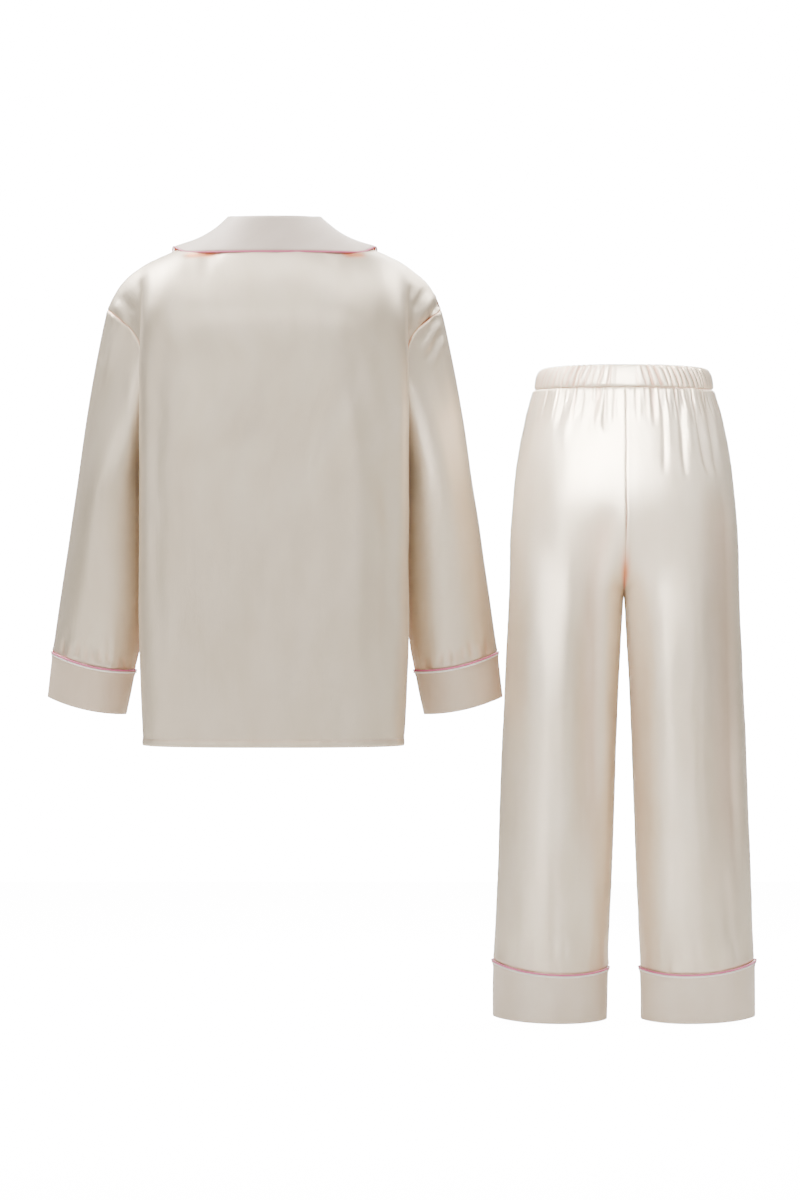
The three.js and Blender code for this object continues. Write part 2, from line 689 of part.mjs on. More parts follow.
function legCuffRing(side, z, columns) {
  const value = (column) => between(LEG_CUFF, column, z);
  const middle = mix(value('inner'), value('outer'), 0.5);
  const half = (value('outer') - value('inner')) / 2;
  return Array.from({ length: columns }, (_, k) => {
    const angle = degrees(360 * k / columns);
    const place = power(Math.cos(angle), LEG_ROUNDNESS);
    const deep = power(Math.sin(angle), LEG_ROUNDNESS);
    const behind = Math.max(0, deep);
    const drop = value('tilt') * place - value('sag') * behind ** 2;
    return vec(TROUSERS_X + side * (middle + half * place), -value('half') * deep, z + drop);
  });
}

function buildLegCuff(side, name, pipingName) {
  const rows = LEG_CUFF.map(({ at }) => legCuffRing(side, at, LEG_CUFF_COLUMNS)).reverse();
  tubeWall(name, rows, CUFF_CLOTH, vec(TROUSERS_X + side * 104, 0, -1050));
  pipingRing(pipingName, legCuffRing(side, LEG_CUFF.at(-1).at + SEAM_GAP, LEG_CUFF_COLUMNS));
}

// Waistband: cloth gathered on a wide elastic, plain for a short stretch at the middle of the back
const BAND = [
  { at: -199, half: 126, depth: 96, tilt: 0.03, rise: 0.5 },
  { at: -190, half: 125.5, depth: 95.5, tilt: 0.045, rise: 1 },
  { at: -180, half: 123.5, depth: 94, tilt: 0.06, rise: 1 },
  { at: -171, half: 118.6, depth: 91, tilt: 0.076, rise: 0.35 },
];
const BAND_GATHERS = 74;
const BAND_RISE = 2.6;
const BAND_LEAN = 0.018;
const BAND_INSIDE_COLUMNS = 48;
const BAND_PLAIN = 16;

function bandPoint(z, turn, raised) {
  const value = (column) => between(BAND, column, z);
  const x = value('half') * power(Math.sin(turn), HIP_ROUNDNESS);
  const y = -value('depth') * power(Math.cos(turn), HIP_ROUNDNESS);
  const out = vec(x / value('half'), y / value('depth'), 0).normalize();
  const point = vec(TROUSERS_X + x, y, z - value('tilt') * y);
  return point.addScaledVector(out, raised);
}

function buildWaistband() {
  const pointsPerGather = 3;
  const columns = BAND_GATHERS * pointsPerGather;
  const middleZ = mix(BAND[0].at, BAND.at(-1).at, 0.5);
  const outside = BAND.map(({ at }) => Array.from({ length: columns }, (_, k) => {
    const crest = k % pointsPerGather === 1;
    const width = 0.25 * Math.sin(k * 0.8);
    const plainTurn = 2 * Math.PI * (k + width) / columns;
    const lean = BAND_LEAN * (at - middleZ) * Math.sin(plainTurn) / 10;
    const nearMiddle = Math.abs(Math.sin(plainTurn)) * BAND[0].half < BAND_PLAIN
      && Math.cos(plainTurn) > 0;
    const height = BAND_RISE * between(BAND, 'rise', at) * (1 + 0.3 * Math.sin(k * 1.3));
    return bandPoint(at, plainTurn - lean, crest && !nearMiddle ? height : 0);
  }));
  const inside = [BAND[0], BAND.at(-1)].map(({ at }) =>
    Array.from({ length: BAND_INSIDE_COLUMNS }, (_, k) =>
      bandPoint(at, 2 * Math.PI * k / BAND_INSIDE_COLUMNS, -BAND_CLOTH)));
  addMesh('waistband', wallGeometry(outside, inside, true), IVORY);
}

// Collar: half of its stations, from the middle of the back to its front end. Each goes from the neck
// seam up to the roll and down to the free edge, which stands off the shoulder.
const COLLAR = [
  { seam: [0, -66, 8], roll: [0, -61, 46.5], edge: [0, -80, -3], sag: 1 },
  { seam: [32, -60, 10], roll: [30, -55, 46.5], edge: [48, -76, -3], sag: 1.5 },
  { seam: [58, -40, 14], roll: [53, -36, 46.5], edge: [92, -58, -3], sag: 2 },
  { seam: [75, -2, 20], roll: [66, -4, 46.5], edge: [126, -38, -2], sag: 1.5 },
  { seam: [65, 27, 6], roll: [60, 27, 36], edge: [142, -3, 6], sag: 1 },
  { seam: [55, 54, -16], roll: [52, 58, 6], edge: [141, 40, -9], sag: 0 },
  { seam: [46, 79, -46], roll: [44, 85, -30], edge: [124, 76, -36], sag: 0 },
  { seam: [43, 86, -57], roll: [41, 93, -45], edge: [103, 95, -56], sag: -1 },
];
const COLLAR_STATIONS = 28;
const ROLL_RADIUS = 3.2;
const COLLAR_LIFT = 0.7;

// A smooth line through the stations of both halves
function collarLine(key) {
  const half = COLLAR.map((station) => station[key]);
  const whole = [
    ...half.slice(1).reverse().map(([x, y, z]) => vec(-x, y, z)),
    ...half.map(([x, y, z]) => vec(x, y, z)),
  ];
  return new THREE.CatmullRomCurve3(whole, false, 'centripetal');
}

function buildCollar() {
  const lines = { seam: collarLine('seam'), roll: collarLine('roll'), edge: collarLine('edge') };
  const sections = steps(COLLAR_STATIONS).map((share) => {
    const seam = lines.seam.getPoint(share);
    const roll = lines.roll.getPoint(share);
    const edge = lines.edge.getPoint(share);
    const up = roll.clone().sub(seam).normalize();
    const out = edge.clone().sub(roll);
    out.addScaledVector(up, -out.dot(up)).normalize();
    const around = (aside, down) => roll.clone().addScaledVector(out, aside * ROLL_RADIUS)
      .addScaledVector(up, -down * ROLL_RADIUS);
    const foot = seam.clone().addScaledVector(up, COLLAR_LIFT);
    const fall = around(1, 1);
    const place = Math.abs(share * 2 - 1) * (COLLAR.length - 1);
    const station = Math.min(COLLAR.length - 2, Math.floor(place));
    const sag = mix(COLLAR[station].sag, COLLAR[station + 1].sag, place - station);
    const onFall = (t) => fall.clone().lerp(edge, t).add(vec(0, 0, -sag * 4 * t * (1 - t)));
    return [foot, around(-1, 1), around(-0.7, 0.3), around(0, 0), around(0.7, 0.3), fall,
      onFall(0.34), onFall(0.67), edge];
  });
  const towardFold = inwardOf(sections, false, vec(0, 0, -10));
  const top = sections[COLLAR_STATIONS / 2];
  const inFold = top[1].clone().add(top[5]).multiplyScalar(0.5).sub(top[3]);
  if (inFold.dot(towardFold[COLLAR_STATIONS / 2][3]) < 0) {
    towardFold.forEach((row) => row.forEach((direction) => direction.negate()));
  }
  const inside = sections.map((section, i) => section.map((point, j) =>
    point.clone().addScaledVector(towardFold[i][j], COLLAR_CLOTH)));
  addMesh('collar', wallGeometry(sections, inside, false), IVORY);
  buildCollarPiping(sections, towardFold);
}

// The piping runs along the free edge and turns both front corners
function buildCollarPiping(sections, towardFold) {
  const clear = SEAM_GAP + PIPING_RADIUS + TRIM_CLEAR;
  const middle = (i, j) => sections[i][j].clone().addScaledVector(towardFold[i][j], COLLAR_CLOTH / 2);
  const edgeAt = (i) => {
    const outward = sections[i][8].clone().sub(sections[i][7]).normalize();
    return middle(i, 8).addScaledVector(outward, clear);
  };
  const endOf = (i, next, j) => {
    const outward = sections[i][j].clone().sub(sections[next][j]).normalize();
    return middle(i, j).addScaledVector(outward, clear);
  };
  const cornerOf = (i, next) => {
    const along = sections[i][8].clone().sub(sections[next][8]).normalize();
    const outward = sections[i][8].clone().sub(sections[i][7]).normalize();
    return middle(i, 8).addScaledVector(along, clear).addScaledVector(outward, clear);
  };
  const last = COLLAR_STATIONS;
  const line = [
    endOf(0, 1, 6), endOf(0, 1, 7), cornerOf(0, 1),
    ...sections.map((_, i) => edgeAt(i)),
    cornerOf(last, last - 1), endOf(last, last - 1, 7), endOf(last, last - 1, 6),
  ];
  addMesh('collar_piping', trimGeometry(line, PIPING_RADIUS, false), PINK);
}

// Lapels: the tops of the fronts turned back, made from the fronts' own points moved out
const LAPEL = { topRow: 3.75, footRow: 7.6, width: 64, clear: 1.9, across: 4, down: 6 };

function onFrontRow(front, row, distance) {
  const points = front.rows[row];
  let left = distance;
  let j = 0;
  while (j + 2 < points.length && left > points[j].distanceTo(points[j + 1])) {
    left -= points[j].distanceTo(points[j + 1]);
    j += 1;
  }
  const t = left / points[j].distanceTo(points[j + 1]);
  return {
    point: points[j].clone().lerp(points[j + 1], t),
    inward: front.inward[row][j].clone().lerp(front.inward[row][j + 1], t).normalize(),
  };
}

function onFront(front, row, distance) {
  const whole = Math.floor(row);
  const above = onFrontRow(front, whole, distance);
  const below = onFrontRow(front, whole + 1, distance);
  return {
    point: above.point.lerp(below.point, row - whole),
    inward: above.inward.lerp(below.inward, row - whole).normalize(),
  };
}

function buildLapel(front, name) {
  const outside = [];
  const inside = [];
  for (const share of steps(LAPEL.down)) {
    const row = mix(LAPEL.topRow, LAPEL.footRow, share);
    const width = LAPEL.width * (1 - 0.93 * share);
    const spots = steps(LAPEL.across).map((t) => onFront(front, row, 1.5 + width * t));
    inside.push(spots.map(({ point, inward }) => point.clone().addScaledVector(inward, -LAPEL.clear)));
    outside.push(spots.map(({ point, inward }) =>
      point.clone().addScaledVector(inward, -LAPEL.clear - CLOTH)));
  }
  addMesh(name, wallGeometry(outside, inside, false), IVORY);
}

// Buttons down the middle of the right front, each a dished disc
const BUTTONS = { first: -268, spacing: 100, count: 4, sides: 12, clear: 0.7 };

function buildButtons(front) {
  const rim = BUTTON_RADIUS;
  const profile = [
    [0, 0], [rim - 0.7, 0], [rim, 0.7], [rim - 0.5, BUTTON_THICKNESS],
    [rim - 1.6, BUTTON_THICKNESS], [rim - 2.2, BUTTON_THICKNESS - 0.8], [0, BUTTON_THICKNESS - 0.8],
  ].map(([x, y]) => new THREE.Vector2(x, y));
  for (let k = 0; k < BUTTONS.count; k++) {
    const z = BUTTONS.first - k * BUTTONS.spacing;
    const row = front.rows.findIndex((points) => points[0].z < z) - 1;
    const share = (front.rows[row][0].z - z) / (front.rows[row][0].z - front.rows[row + 1][0].z);
    const { point } = onFront(front, row + share, LAP);
    const button = addMesh(`button_${k + 1}`, new THREE.LatheGeometry(profile, BUTTONS.sides), SHELL);
    button.position.set(point.x, point.y + BUTTONS.clear, point.z);
  }
}

buildBack();
const rightFront = buildFront(RIGHT, 'jacket_front_right');
const leftFront = buildFront(LEFT, 'jacket_front_left');
buildSleeve(RIGHT, 'sleeve_right');
buildSleeve(LEFT, 'sleeve_left');
for (const [side, word] of [[RIGHT, 'right'], [LEFT, 'left']]) {
  buildTrouserPanel(side, BACK, `leg_back_${word}`);
  buildTrouserPanel(side, FRONT, `leg_front_${word}`);
}
sewPanels();
for (const item of panels) addMesh(item.name, panelGeometry(item), IVORY);
buildCollar();
buildLapel(rightFront, 'lapel_right');
buildLapel(leftFront, 'lapel_left');
buildButtons(rightFront);

for (const [side, word] of [[RIGHT, 'right'], [LEFT, 'left']]) {
  buildSleeveCuff(side, `sleeve_cuff_${word}`, `sleeve_piping_${word}`);
  buildLegCuff(side, `leg_cuff_${word}`, `leg_piping_${word}`);
}
buildWaistband();

export default set;
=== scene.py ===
# Pyjama set in ivory satin: a long-sleeved top and wide-leg trousers, filled out with no wearer.
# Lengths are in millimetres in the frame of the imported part, and each mesh is scaled to metres as
# it is made. x is the wearer's right, y the wearer's front, and the camera looks at the back.
import math

import bpy
import numpy as np
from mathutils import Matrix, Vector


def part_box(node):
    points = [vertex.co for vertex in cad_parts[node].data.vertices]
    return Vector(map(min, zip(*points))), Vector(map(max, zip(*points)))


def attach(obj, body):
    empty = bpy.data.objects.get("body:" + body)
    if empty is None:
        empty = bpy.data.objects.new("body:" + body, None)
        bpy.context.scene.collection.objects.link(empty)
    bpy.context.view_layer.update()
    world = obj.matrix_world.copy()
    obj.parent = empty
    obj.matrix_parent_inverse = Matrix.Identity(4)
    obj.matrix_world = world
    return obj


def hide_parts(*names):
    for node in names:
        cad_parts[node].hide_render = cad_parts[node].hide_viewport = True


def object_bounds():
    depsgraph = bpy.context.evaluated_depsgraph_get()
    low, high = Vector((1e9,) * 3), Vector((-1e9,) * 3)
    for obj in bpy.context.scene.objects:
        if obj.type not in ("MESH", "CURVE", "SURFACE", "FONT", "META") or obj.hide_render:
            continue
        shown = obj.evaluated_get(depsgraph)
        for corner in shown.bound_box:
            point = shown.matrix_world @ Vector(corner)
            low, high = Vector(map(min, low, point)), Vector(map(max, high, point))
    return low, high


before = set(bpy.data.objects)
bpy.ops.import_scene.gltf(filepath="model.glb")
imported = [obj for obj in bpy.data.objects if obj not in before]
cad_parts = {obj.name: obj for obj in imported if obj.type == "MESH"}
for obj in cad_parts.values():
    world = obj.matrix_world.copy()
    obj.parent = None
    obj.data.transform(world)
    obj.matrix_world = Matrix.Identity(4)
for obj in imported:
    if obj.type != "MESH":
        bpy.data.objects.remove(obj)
cad_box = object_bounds()

# The back of the top: one cut of satin from the shoulder seams to the hem. It hangs nearly flat,
# turns a corner at each side and folds forward under the sleeve, with soft drapes down its length.
# The hem is turned up twice and held by a row of stitches.
MM = 0.001
LEFT, RIGHT = -1, 1
BACK, FRONT = -1, 1
TOP_HEART = (0, 0, -300)
CLOTH = 1.1
FINE = 4.2


def mix(a, b, t):
    return a + (b - a) * t


def ease(t):
    held = np.clip(t, 0, 1)
    return held * held * (3 - 2 * held)


def hill(distance, width):
    return np.exp(-((distance / width) ** 2))


def unit(vectors):
    return vectors / (np.linalg.norm(vectors, axis=-1, keepdims=True) + 1e-9)


def run_of(points):
    """How far along its line each point lies."""
    return np.concatenate([[0], np.cumsum(np.linalg.norm(np.diff(points, axis=0), axis=1))])


def squares(grid, axis=-1):
    """The four corners of each square of a grid, in order round it."""
    return np.stack([grid[:-1, :-1], grid[:-1, 1:], grid[1:, 1:], grid[1:, :-1]], axis=axis)


def curve(start, end, leave, arrive, t):
    """A smooth step from start to end, with the slopes `leave` and `arrive`."""
    return (start * (1 + 2 * t) * (1 - t) ** 2 + leave * t * (1 - t) ** 2
            + end * t * t * (3 - 2 * t) + arrive * t * t * (t - 1))


def through(knots, values, at):
    """A smooth line through the values at rising knots, read at the places `at`."""
    knots, values = np.asarray(knots, float), np.asarray(values, float)
    at = np.clip(np.asarray(at, float), knots[0], knots[-1])
    before = np.clip(np.searchsorted(knots, at, side="right") - 1, 0, len(knots) - 2)
    after = before + 1
    first = np.maximum(before - 1, 0)
    last = np.minimum(after + 1, len(knots) - 1)
    shape = at.shape + (1,) * (values.ndim - 1)
    span = (knots[after] - knots[before]).reshape(shape)
    leave = (values[after] - values[first]) / (knots[after] - knots[first]).reshape(shape) * span
    arrive = (values[last] - values[before]) / (knots[last] - knots[before]).reshape(shape) * span
    t = (at - knots[before]).reshape(shape) / span
    return curve(values[before], values[after], leave, arrive, t)


def cloud(across, down, size, seed):
    """Smooth random hills between -1 and 1, whose middles lie `size` apart across and down."""
    draws = np.random.default_rng(seed).uniform(-1, 1, (61, 61))
    a, b = across / size[0], down / size[1]
    i, j = np.floor(a).astype(int), np.floor(b).astype(int)
    s, t = ease(a - i), ease(b - j)
    upper = mix(draws[i % 61, j % 61], draws[(i + 1) % 61, j % 61], s)
    lower = mix(draws[i % 61, (j + 1) % 61], draws[(i + 1) % 61, (j + 1) % 61], s)
    return mix(upper, lower, t)


def spread(length, spacing, close_start, close_end):
    """Places along a length, with closer ones beside a sewn end."""
    near = [0, 0.8, 1.8, 3.2, 5.2]
    lead = near if close_start else [0]
    tail = [length - step for step in reversed(near if close_end else [0])]
    count = max(2, round((tail[0] - lead[-1]) / spacing) + 1)
    return np.concatenate([lead[:-1], np.linspace(lead[-1], tail[0], count), tail[1:]])


def knots_of(grid, axis):
    step = np.linalg.norm(np.diff(grid, axis=axis), axis=2).mean(axis=1 - axis)
    return np.concatenate([[0], np.cumsum(step)])


def refined(grid, spacing, closed=False, close="top foot start end"):
    """The smooth cloth through a coarse grid of points."""
    grid = np.array(grid, float)
    columns = grid.shape[1]
    if closed:
        grid = np.concatenate([grid[:, -3:], grid, grid[:, :4]], axis=1)
    down, across = knots_of(grid, 0), knots_of(grid, 1)
    rows = spread(down[-1], spacing, "top" in close, "foot" in close)
    if closed:
        start, end = across[3], across[3 + columns]
        places = np.linspace(start, end, round((end - start) / spacing) + 1)[:-1]
    else:
        places = spread(across[-1], spacing, "start" in close, "end" in close)
    tall = through(down, grid, rows)
    return through(across, tall.swapaxes(0, 1), places).swapaxes(0, 1)


def soften(points, reach, held=30):
    """Evens out the cloth from row to row over about `reach`, and leaves its ends where they are."""
    rows = knots_of(points, 0)
    near = hill(rows[:, None] - rows[None, :], reach)
    near /= near.sum(axis=1, keepdims=True)
    smooth = np.einsum("ij,jkl->ikl", near, points)
    share = ease(np.minimum(rows, rows[-1] - rows) / held)[:, None, None]
    return mix(points, smooth, share)


class Cloth:
    """A piece of cloth as a fine grid of points. `lift` is how far each stands off the plain form,
    and `painted_shade_glow` how much painted warm shade and glow it gets, from 0 to 1, mostly where it lies
    deep in a crease or seam."""

    def __init__(self, points, heart, closed=False):
        self.points = points
        self.closed = closed
        self.across, self.down = self.run(1), self.run(0)
        self.out = self.outward(points, heart)
        self.lift = np.zeros(points.shape[:2])
        self.painted_shade_glow = np.zeros(points.shape[:2])

    def run(self, axis):
        step = np.linalg.norm(np.diff(self.points, axis=axis), axis=2)
        start = np.zeros_like(np.take(step, [0], axis=axis))
        return np.concatenate([start, np.cumsum(step, axis=axis)], axis=axis)

    def outward(self, points, heart):
        if self.closed:
            across = np.roll(points, -1, 1) - np.roll(points, 1, 1)
        else:
            across = np.gradient(points, axis=1)
        out = unit(np.cross(across, np.gradient(points, axis=0)))
        return out if (out * (points - np.array(heart))).sum() > 0 else -out

    def off(self, edge):
        return {"top": self.down, "foot": self.down[-1:] - self.down,
                "start": self.across, "end": self.across[:, -1:] - self.across}[edge]

    def along(self, edge):
        return self.across if edge in ("top", "foot") else self.down

    def facing(self, face):
        return 1 if face == 0 else ease(0.35 + face * self.out[..., 1] * 1.6)

    def crease(self, path, width, depth, face=0, fade=(0.3, 0.3), painted_glow=0):
        """A fold along (x, z) points seen from behind, raised by `depth`, or pressed in below 0.
        width is one number, or two for its left and right side. `painted_glow` paints warm shade and glow
        along the fold."""
        path = np.array(path, float)
        count = 8 * (len(path) - 1)
        line = through(np.arange(len(path)), path, np.linspace(0, len(path) - 1, count + 1))
        left, right = width if isinstance(width, tuple) else (width, width)
        seen = self.points[..., [0, 2]]
        reach = 3 * max(left, right)
        near = ((seen > line.min(0) - reach) & (seen < line.max(0) + reach)).all(axis=2)
        if not near.any():
            return
        steps = np.diff(line, axis=0)
        away = seen[near][:, None] - line[:-1]
        share = np.clip((away * steps).sum(2) / ((steps ** 2).sum(1) + 1e-9), 0, 1)
        apart = np.linalg.norm(away - share[..., None] * steps, axis=2)
        best = apart.argmin(axis=1)
        pick = np.arange(len(best)), best
        turn = steps[best, 0] * away[pick][:, 1] - steps[best, 1] * away[pick][:, 0]
        place = (best + share[pick]) / count
        side = np.where(turn * np.sign(steps[:, 1].sum() or 1) > 0, left, right)
        shape = hill(apart[pick], side) * ease(place / fade[0]) * ease((1 - place) / fade[1])
        whole = np.zeros(near.shape)
        whole[near] = shape
        whole *= self.facing(face)
        self.lift += depth * whole
        self.painted_shade_glow = np.maximum(self.painted_shade_glow, painted_glow * whole)

    def sew(self, edge, tuck=1.0, pucker=0.35, seed=1, pitch=8, reach=12, painted_glow=0.25):
        """The edge turned in at a seam, with the small puckers that the thread draws up, and painted warm
        shade and glow along the seam line.
        """
        off, along = self.off(edge), self.along(edge)
        self.lift += 0.3 * hill(off - 4.2, 2.2) - tuck * hill(off, 1.6)
        self.lift += pucker * cloud(along, off, (pitch, 40), seed) * np.exp(-off / reach) * ease(off / 3)
        self.painted_shade_glow = np.maximum(self.painted_shade_glow, painted_glow * hill(off, 1.2))

    def drape(self, height, size, seed):
        """The soft unevenness of loose cloth."""
        self.lift += height * cloud(self.points[..., 0], self.points[..., 2], size, seed)

    def placed(self):
        return self.points + self.out * self.lift[..., None]

    def above_foot(self, distance):
        """Points on the cloth and its outward directions, one distance up from its foot."""
        surface, off, out = self.placed()[::-1], self.off("foot")[::-1], self.out[::-1]
        points, directions = [], []
        for k in range(surface.shape[1]):
            i = int(np.clip(np.searchsorted(off[:, k], distance), 1, len(off) - 1))
            t = (distance - off[i - 1, k]) / (off[i, k] - off[i - 1, k])
            points.append(mix(surface[i - 1, k], surface[i, k], t))
            directions.append(mix(out[i - 1, k], out[i, k], t))
        return np.array(points), np.array(directions)

    def build(self, name, material, thick=CLOTH, inside_painted_shade=0.3):
        """One closed wall: the outside, the inside, and the rims between them."""
        outside = self.placed()
        inside = outside - self.out * thick
        number = np.arange(self.lift.size).reshape(self.lift.shape)
        across, down = self.across, self.down
        if self.closed:
            number = np.concatenate([number, number[:, :1]], axis=1)
            across = np.concatenate([across, across[:, -1:] + FINE], axis=1)
            down = np.concatenate([down, down[:, :1]], axis=1)
        inner = number + self.lift.size
        place = np.stack([across, down], axis=-1) * MM
        spots = squares(place, axis=2).reshape(-1, 4, 2)
        quads = [squares(number).reshape(-1, 4), squares(inner).reshape(-1, 4)[:, ::-1]]
        spots = [spots, spots[:, ::-1]]
        rims = [(number[0], inner[0], place[0]), (inner[-1], number[-1], place[-1])]
        if not self.closed:
            rims += [(inner[:, 0], number[:, 0], place[:, 0]), (number[:, -1], inner[:, -1], place[:, -1])]
        for a, b, spot in rims:
            quads.append(np.stack([b[:-1], b[1:], a[1:], a[:-1]], axis=-1))
            spots.append(np.stack([spot[:-1], spot[1:], spot[1:], spot[:-1]], axis=1))
        quads, spots = np.concatenate(quads), np.concatenate(spots)
        handed = np.cross(outside[0, 1] - outside[0, 0], outside[1, 0] - outside[0, 0])
        if handed @ self.out[0, 0] > 0:
            quads, spots = quads[:, ::-1], spots[:, ::-1]
        walls = np.concatenate([outside.reshape(-1, 3), inside.reshape(-1, 3)])
        piece = solid(name, walls, quads.tolist(), material)
        layer = piece.data.uv_layers.new(name="cloth")
        layer.data.foreach_set("uv", spots.reshape(-1))
        # The inside wall gets at least inside_painted_shade of painted warm shade and glow
        deep = np.concatenate([self.painted_shade_glow.ravel(), np.maximum(self.painted_shade_glow, inside_painted_shade).ravel()])
        held = piece.data.attributes.new("painted_shade_glow", "FLOAT", "POINT")
        held.data.foreach_set("value", np.clip(deep, 0, 1))
        return piece


def solid(name, points, faces, material, smooth=True):
    """A mesh through points in millimetres, which rides on the set's one body."""
    mesh = bpy.data.meshes.new(name)
    mesh.from_pydata((np.array(points) * MM).tolist(), [], faces)
    mesh.polygons.foreach_set("use_smooth", [smooth] * len(mesh.polygons))
    mesh.materials.append(material)
    piece = bpy.data.objects.new(name, mesh)
    bpy.context.scene.collection.objects.link(piece)
    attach(piece, "root")
    return piece


def dress(node):
    """The finished cloth takes the place of its plain solid, which is hidden."""
    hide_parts(node)


def paint(red, green, blue):
    """A colour read on a screen, from 0 to 255, as Blender's light values."""
    return tuple((part / 255 / 12.92 if part <= 10 else ((part / 255 + 0.055) / 1.055) ** 2.4)
                 for part in (red, green, blue)) + (1,)


def fill(tree, made, sockets):
    """Gives each named socket of a shader node a number or colour, or another node's output."""
    for name, value in sockets.items():
        if isinstance(value, bpy.types.NodeSocket):
            tree.links.new(value, made.inputs[name])
        else:
            made.inputs[name].default_value = value


def shader_node(tree, kind, sockets=(), **settings):
    made = tree.nodes.new("ShaderNode" + kind)
    for name, value in settings.items():
        setattr(made, name, value)
    fill(tree, made, dict(sockets))
    return made


def blend(tree, a, b, share):
    """A colour between a and b."""
    return shader_node(tree, "Mix", {"A": a, "B": b, "Factor": share}, data_type="RGBA").outputs["Result"]


def weave_group():
    """Satin threads: long floats on the face, and the faint streaks that they gather into."""
    group = bpy.data.node_groups.new("satin weave", "ShaderNodeTree")
    group.interface.new_socket("Place", in_out="INPUT", socket_type="NodeSocketVector")
    layers = [("Floats", (2400, 180, 1), 2), ("Streaks", (240, 5, 1), 3), ("Clouds", (22, 9, 1), 3)]
    for layer, _, _ in layers:
        group.interface.new_socket(layer, in_out="OUTPUT", socket_type="NodeSocketFloat")
    entry, leave = group.nodes.new("NodeGroupInput"), group.nodes.new("NodeGroupOutput")
    for layer, scale, detail in layers:
        place = {0: entry.outputs["Place"], 1: scale}
        stretched = shader_node(group, "VectorMath", place, operation="MULTIPLY").outputs[0]
        noise = shader_node(group, "TexNoise", {"Vector": stretched, "Scale": 1, "Detail": detail})
        group.links.new(noise.outputs["Fac"], leave.inputs[layer])
    return group


WEAVE = weave_group()


def satin(name, pale, deep, painted_glow, rough=(0.43, 0.5), sheen=0.05, metal=0.7):
    """Satin: a soft gloss, faint streaks along the threads, and painted warm shade and glow where cloth
    faces cloth. The colour turns towards `painted_glow` and glows faintly with it, by the
    `painted_shade_glow` mask.
    """
    material = bpy.data.materials.new(name)
    material.use_nodes = True
    tree = material.node_tree
    place = shader_node(tree, "UVMap", uv_map="cloth").outputs["UV"]
    weave = shader_node(tree, "Group", node_tree=WEAVE)
    fill(tree, weave, {"Place": place})
    tone = shader_node(tree, "MapRange", {"Value": weave.outputs["Clouds"], "From Min": 0.3, "From Max": 0.7})
    cloth = blend(tree, pale, deep, tone.outputs["Result"])
    painted_shade_glow = shader_node(tree, "Attribute", attribute_name="painted_shade_glow").outputs["Fac"]
    gloss = shader_node(tree, "MapRange", {"Value": weave.outputs["Streaks"], "From Min": 0.25,
                                           "From Max": 0.75, "To Min": rough[0], "To Max": rough[1]})
    threads = shader_node(tree, "Bump", {"Strength": 0.12, "Distance": 0.00015,
                                         "Height": weave.outputs["Floats"]})
    ribs = shader_node(tree, "Bump", {"Strength": 0.17, "Distance": 0.0006,
                                      "Height": weave.outputs["Streaks"],
                                      "Normal": threads.outputs["Normal"]})
    # Painted shade and glow: the base colour turns towards painted_glow and emits it faintly, by the
    # painted_shade_glow mask
    fill(tree, tree.nodes["Principled BSDF"], {
        "Base Color": blend(tree, cloth, painted_glow, painted_shade_glow),
        "Emission Color": blend(tree, (0, 0, 0, 1), painted_glow, painted_shade_glow),
        "Emission Strength": 0.2,
        "Roughness": gloss.outputs["Result"],
        "Normal": ribs.outputs["Normal"],
        "Metallic": metal,
        "Sheen Weight": sheen,
        "Sheen Roughness": 0.35,
        "Specular IOR Level": 0.55,
    })
    return material


# The colour of the painted warm shade and glow in creases, seams and hollows
PAINTED_GLOW_COLOUR = paint(220, 140, 92)
SATIN = satin("ivory satin", paint(221, 206, 184), paint(214, 198, 174), PAINTED_GLOW_COLOUR)

# How the body is cut: the armhole, the shoulder seam and the level sections down to the hem
ARMHOLE = {"middle": -188, "half_height": 103, "centre_y": 6, "half_depth": 62, "step": 15}
ARMHOLE_REACH = {"at": [-291, -240, -190, -145, -121, -100, -85],
                 "x": [172, 177, 183, 189, 196, 219, 238]}
SHOULDER = [(75, -2, 20), (105, -1, 12), (130, 0, 4), (150, 1, -4), (168, 2, -12),
            (187, 3, -22), (214, 4, -43), (229, 5, -64), (238, 6, -85)]
BACK_NECK = [(0, -66, 8), (32, -60, 10), (58, -40, 14)]
BODY = {"at": [-705, -560, -400, -291, -160],
        "fold": [184, 190, 190, 190, 190],
        "fold_y": [-60, -62, -63, -64, -64],
        "back": [127, 129, 129, 129, 128.5],
        "side": [171, 174, 174, 172, 172],
        "front": [131, 133, 133, 131, 122],
        "corner": [165, 169, 169, 168, 168]}
NECK_COLUMNS, FOLD_COLUMN, EDGE_COLUMN = 3, 8, 11
CHEST_ROW, UNDERARM_ROW = 6, 12
CHEST_Z = -160
UNDERARM_Z = ARMHOLE["middle"] - ARMHOLE["half_height"]
LOWER_ROWS = [-350, -430, -520, -610, -699]
HEM_ROW = UNDERARM_ROW + len(LOWER_ROWS)
HEM_SAG = 6
ROUNDNESS = 2.6
DROP_BULGE, DROP_ROWS = 8, 5
STRAIGHT_FROM = 64


def body(name, z):
    return float(through(BODY["at"], BODY[name], z))


def armhole_point(side, face, angle):
    turn = math.radians(angle)
    z = ARMHOLE["middle"] + ARMHOLE["half_height"] * math.cos(turn)
    y = ARMHOLE["centre_y"] + face * ARMHOLE["half_depth"] * math.sin(turn)
    return np.array([side * float(through(ARMHOLE_REACH["at"], ARMHOLE_REACH["x"], z)), y, z])


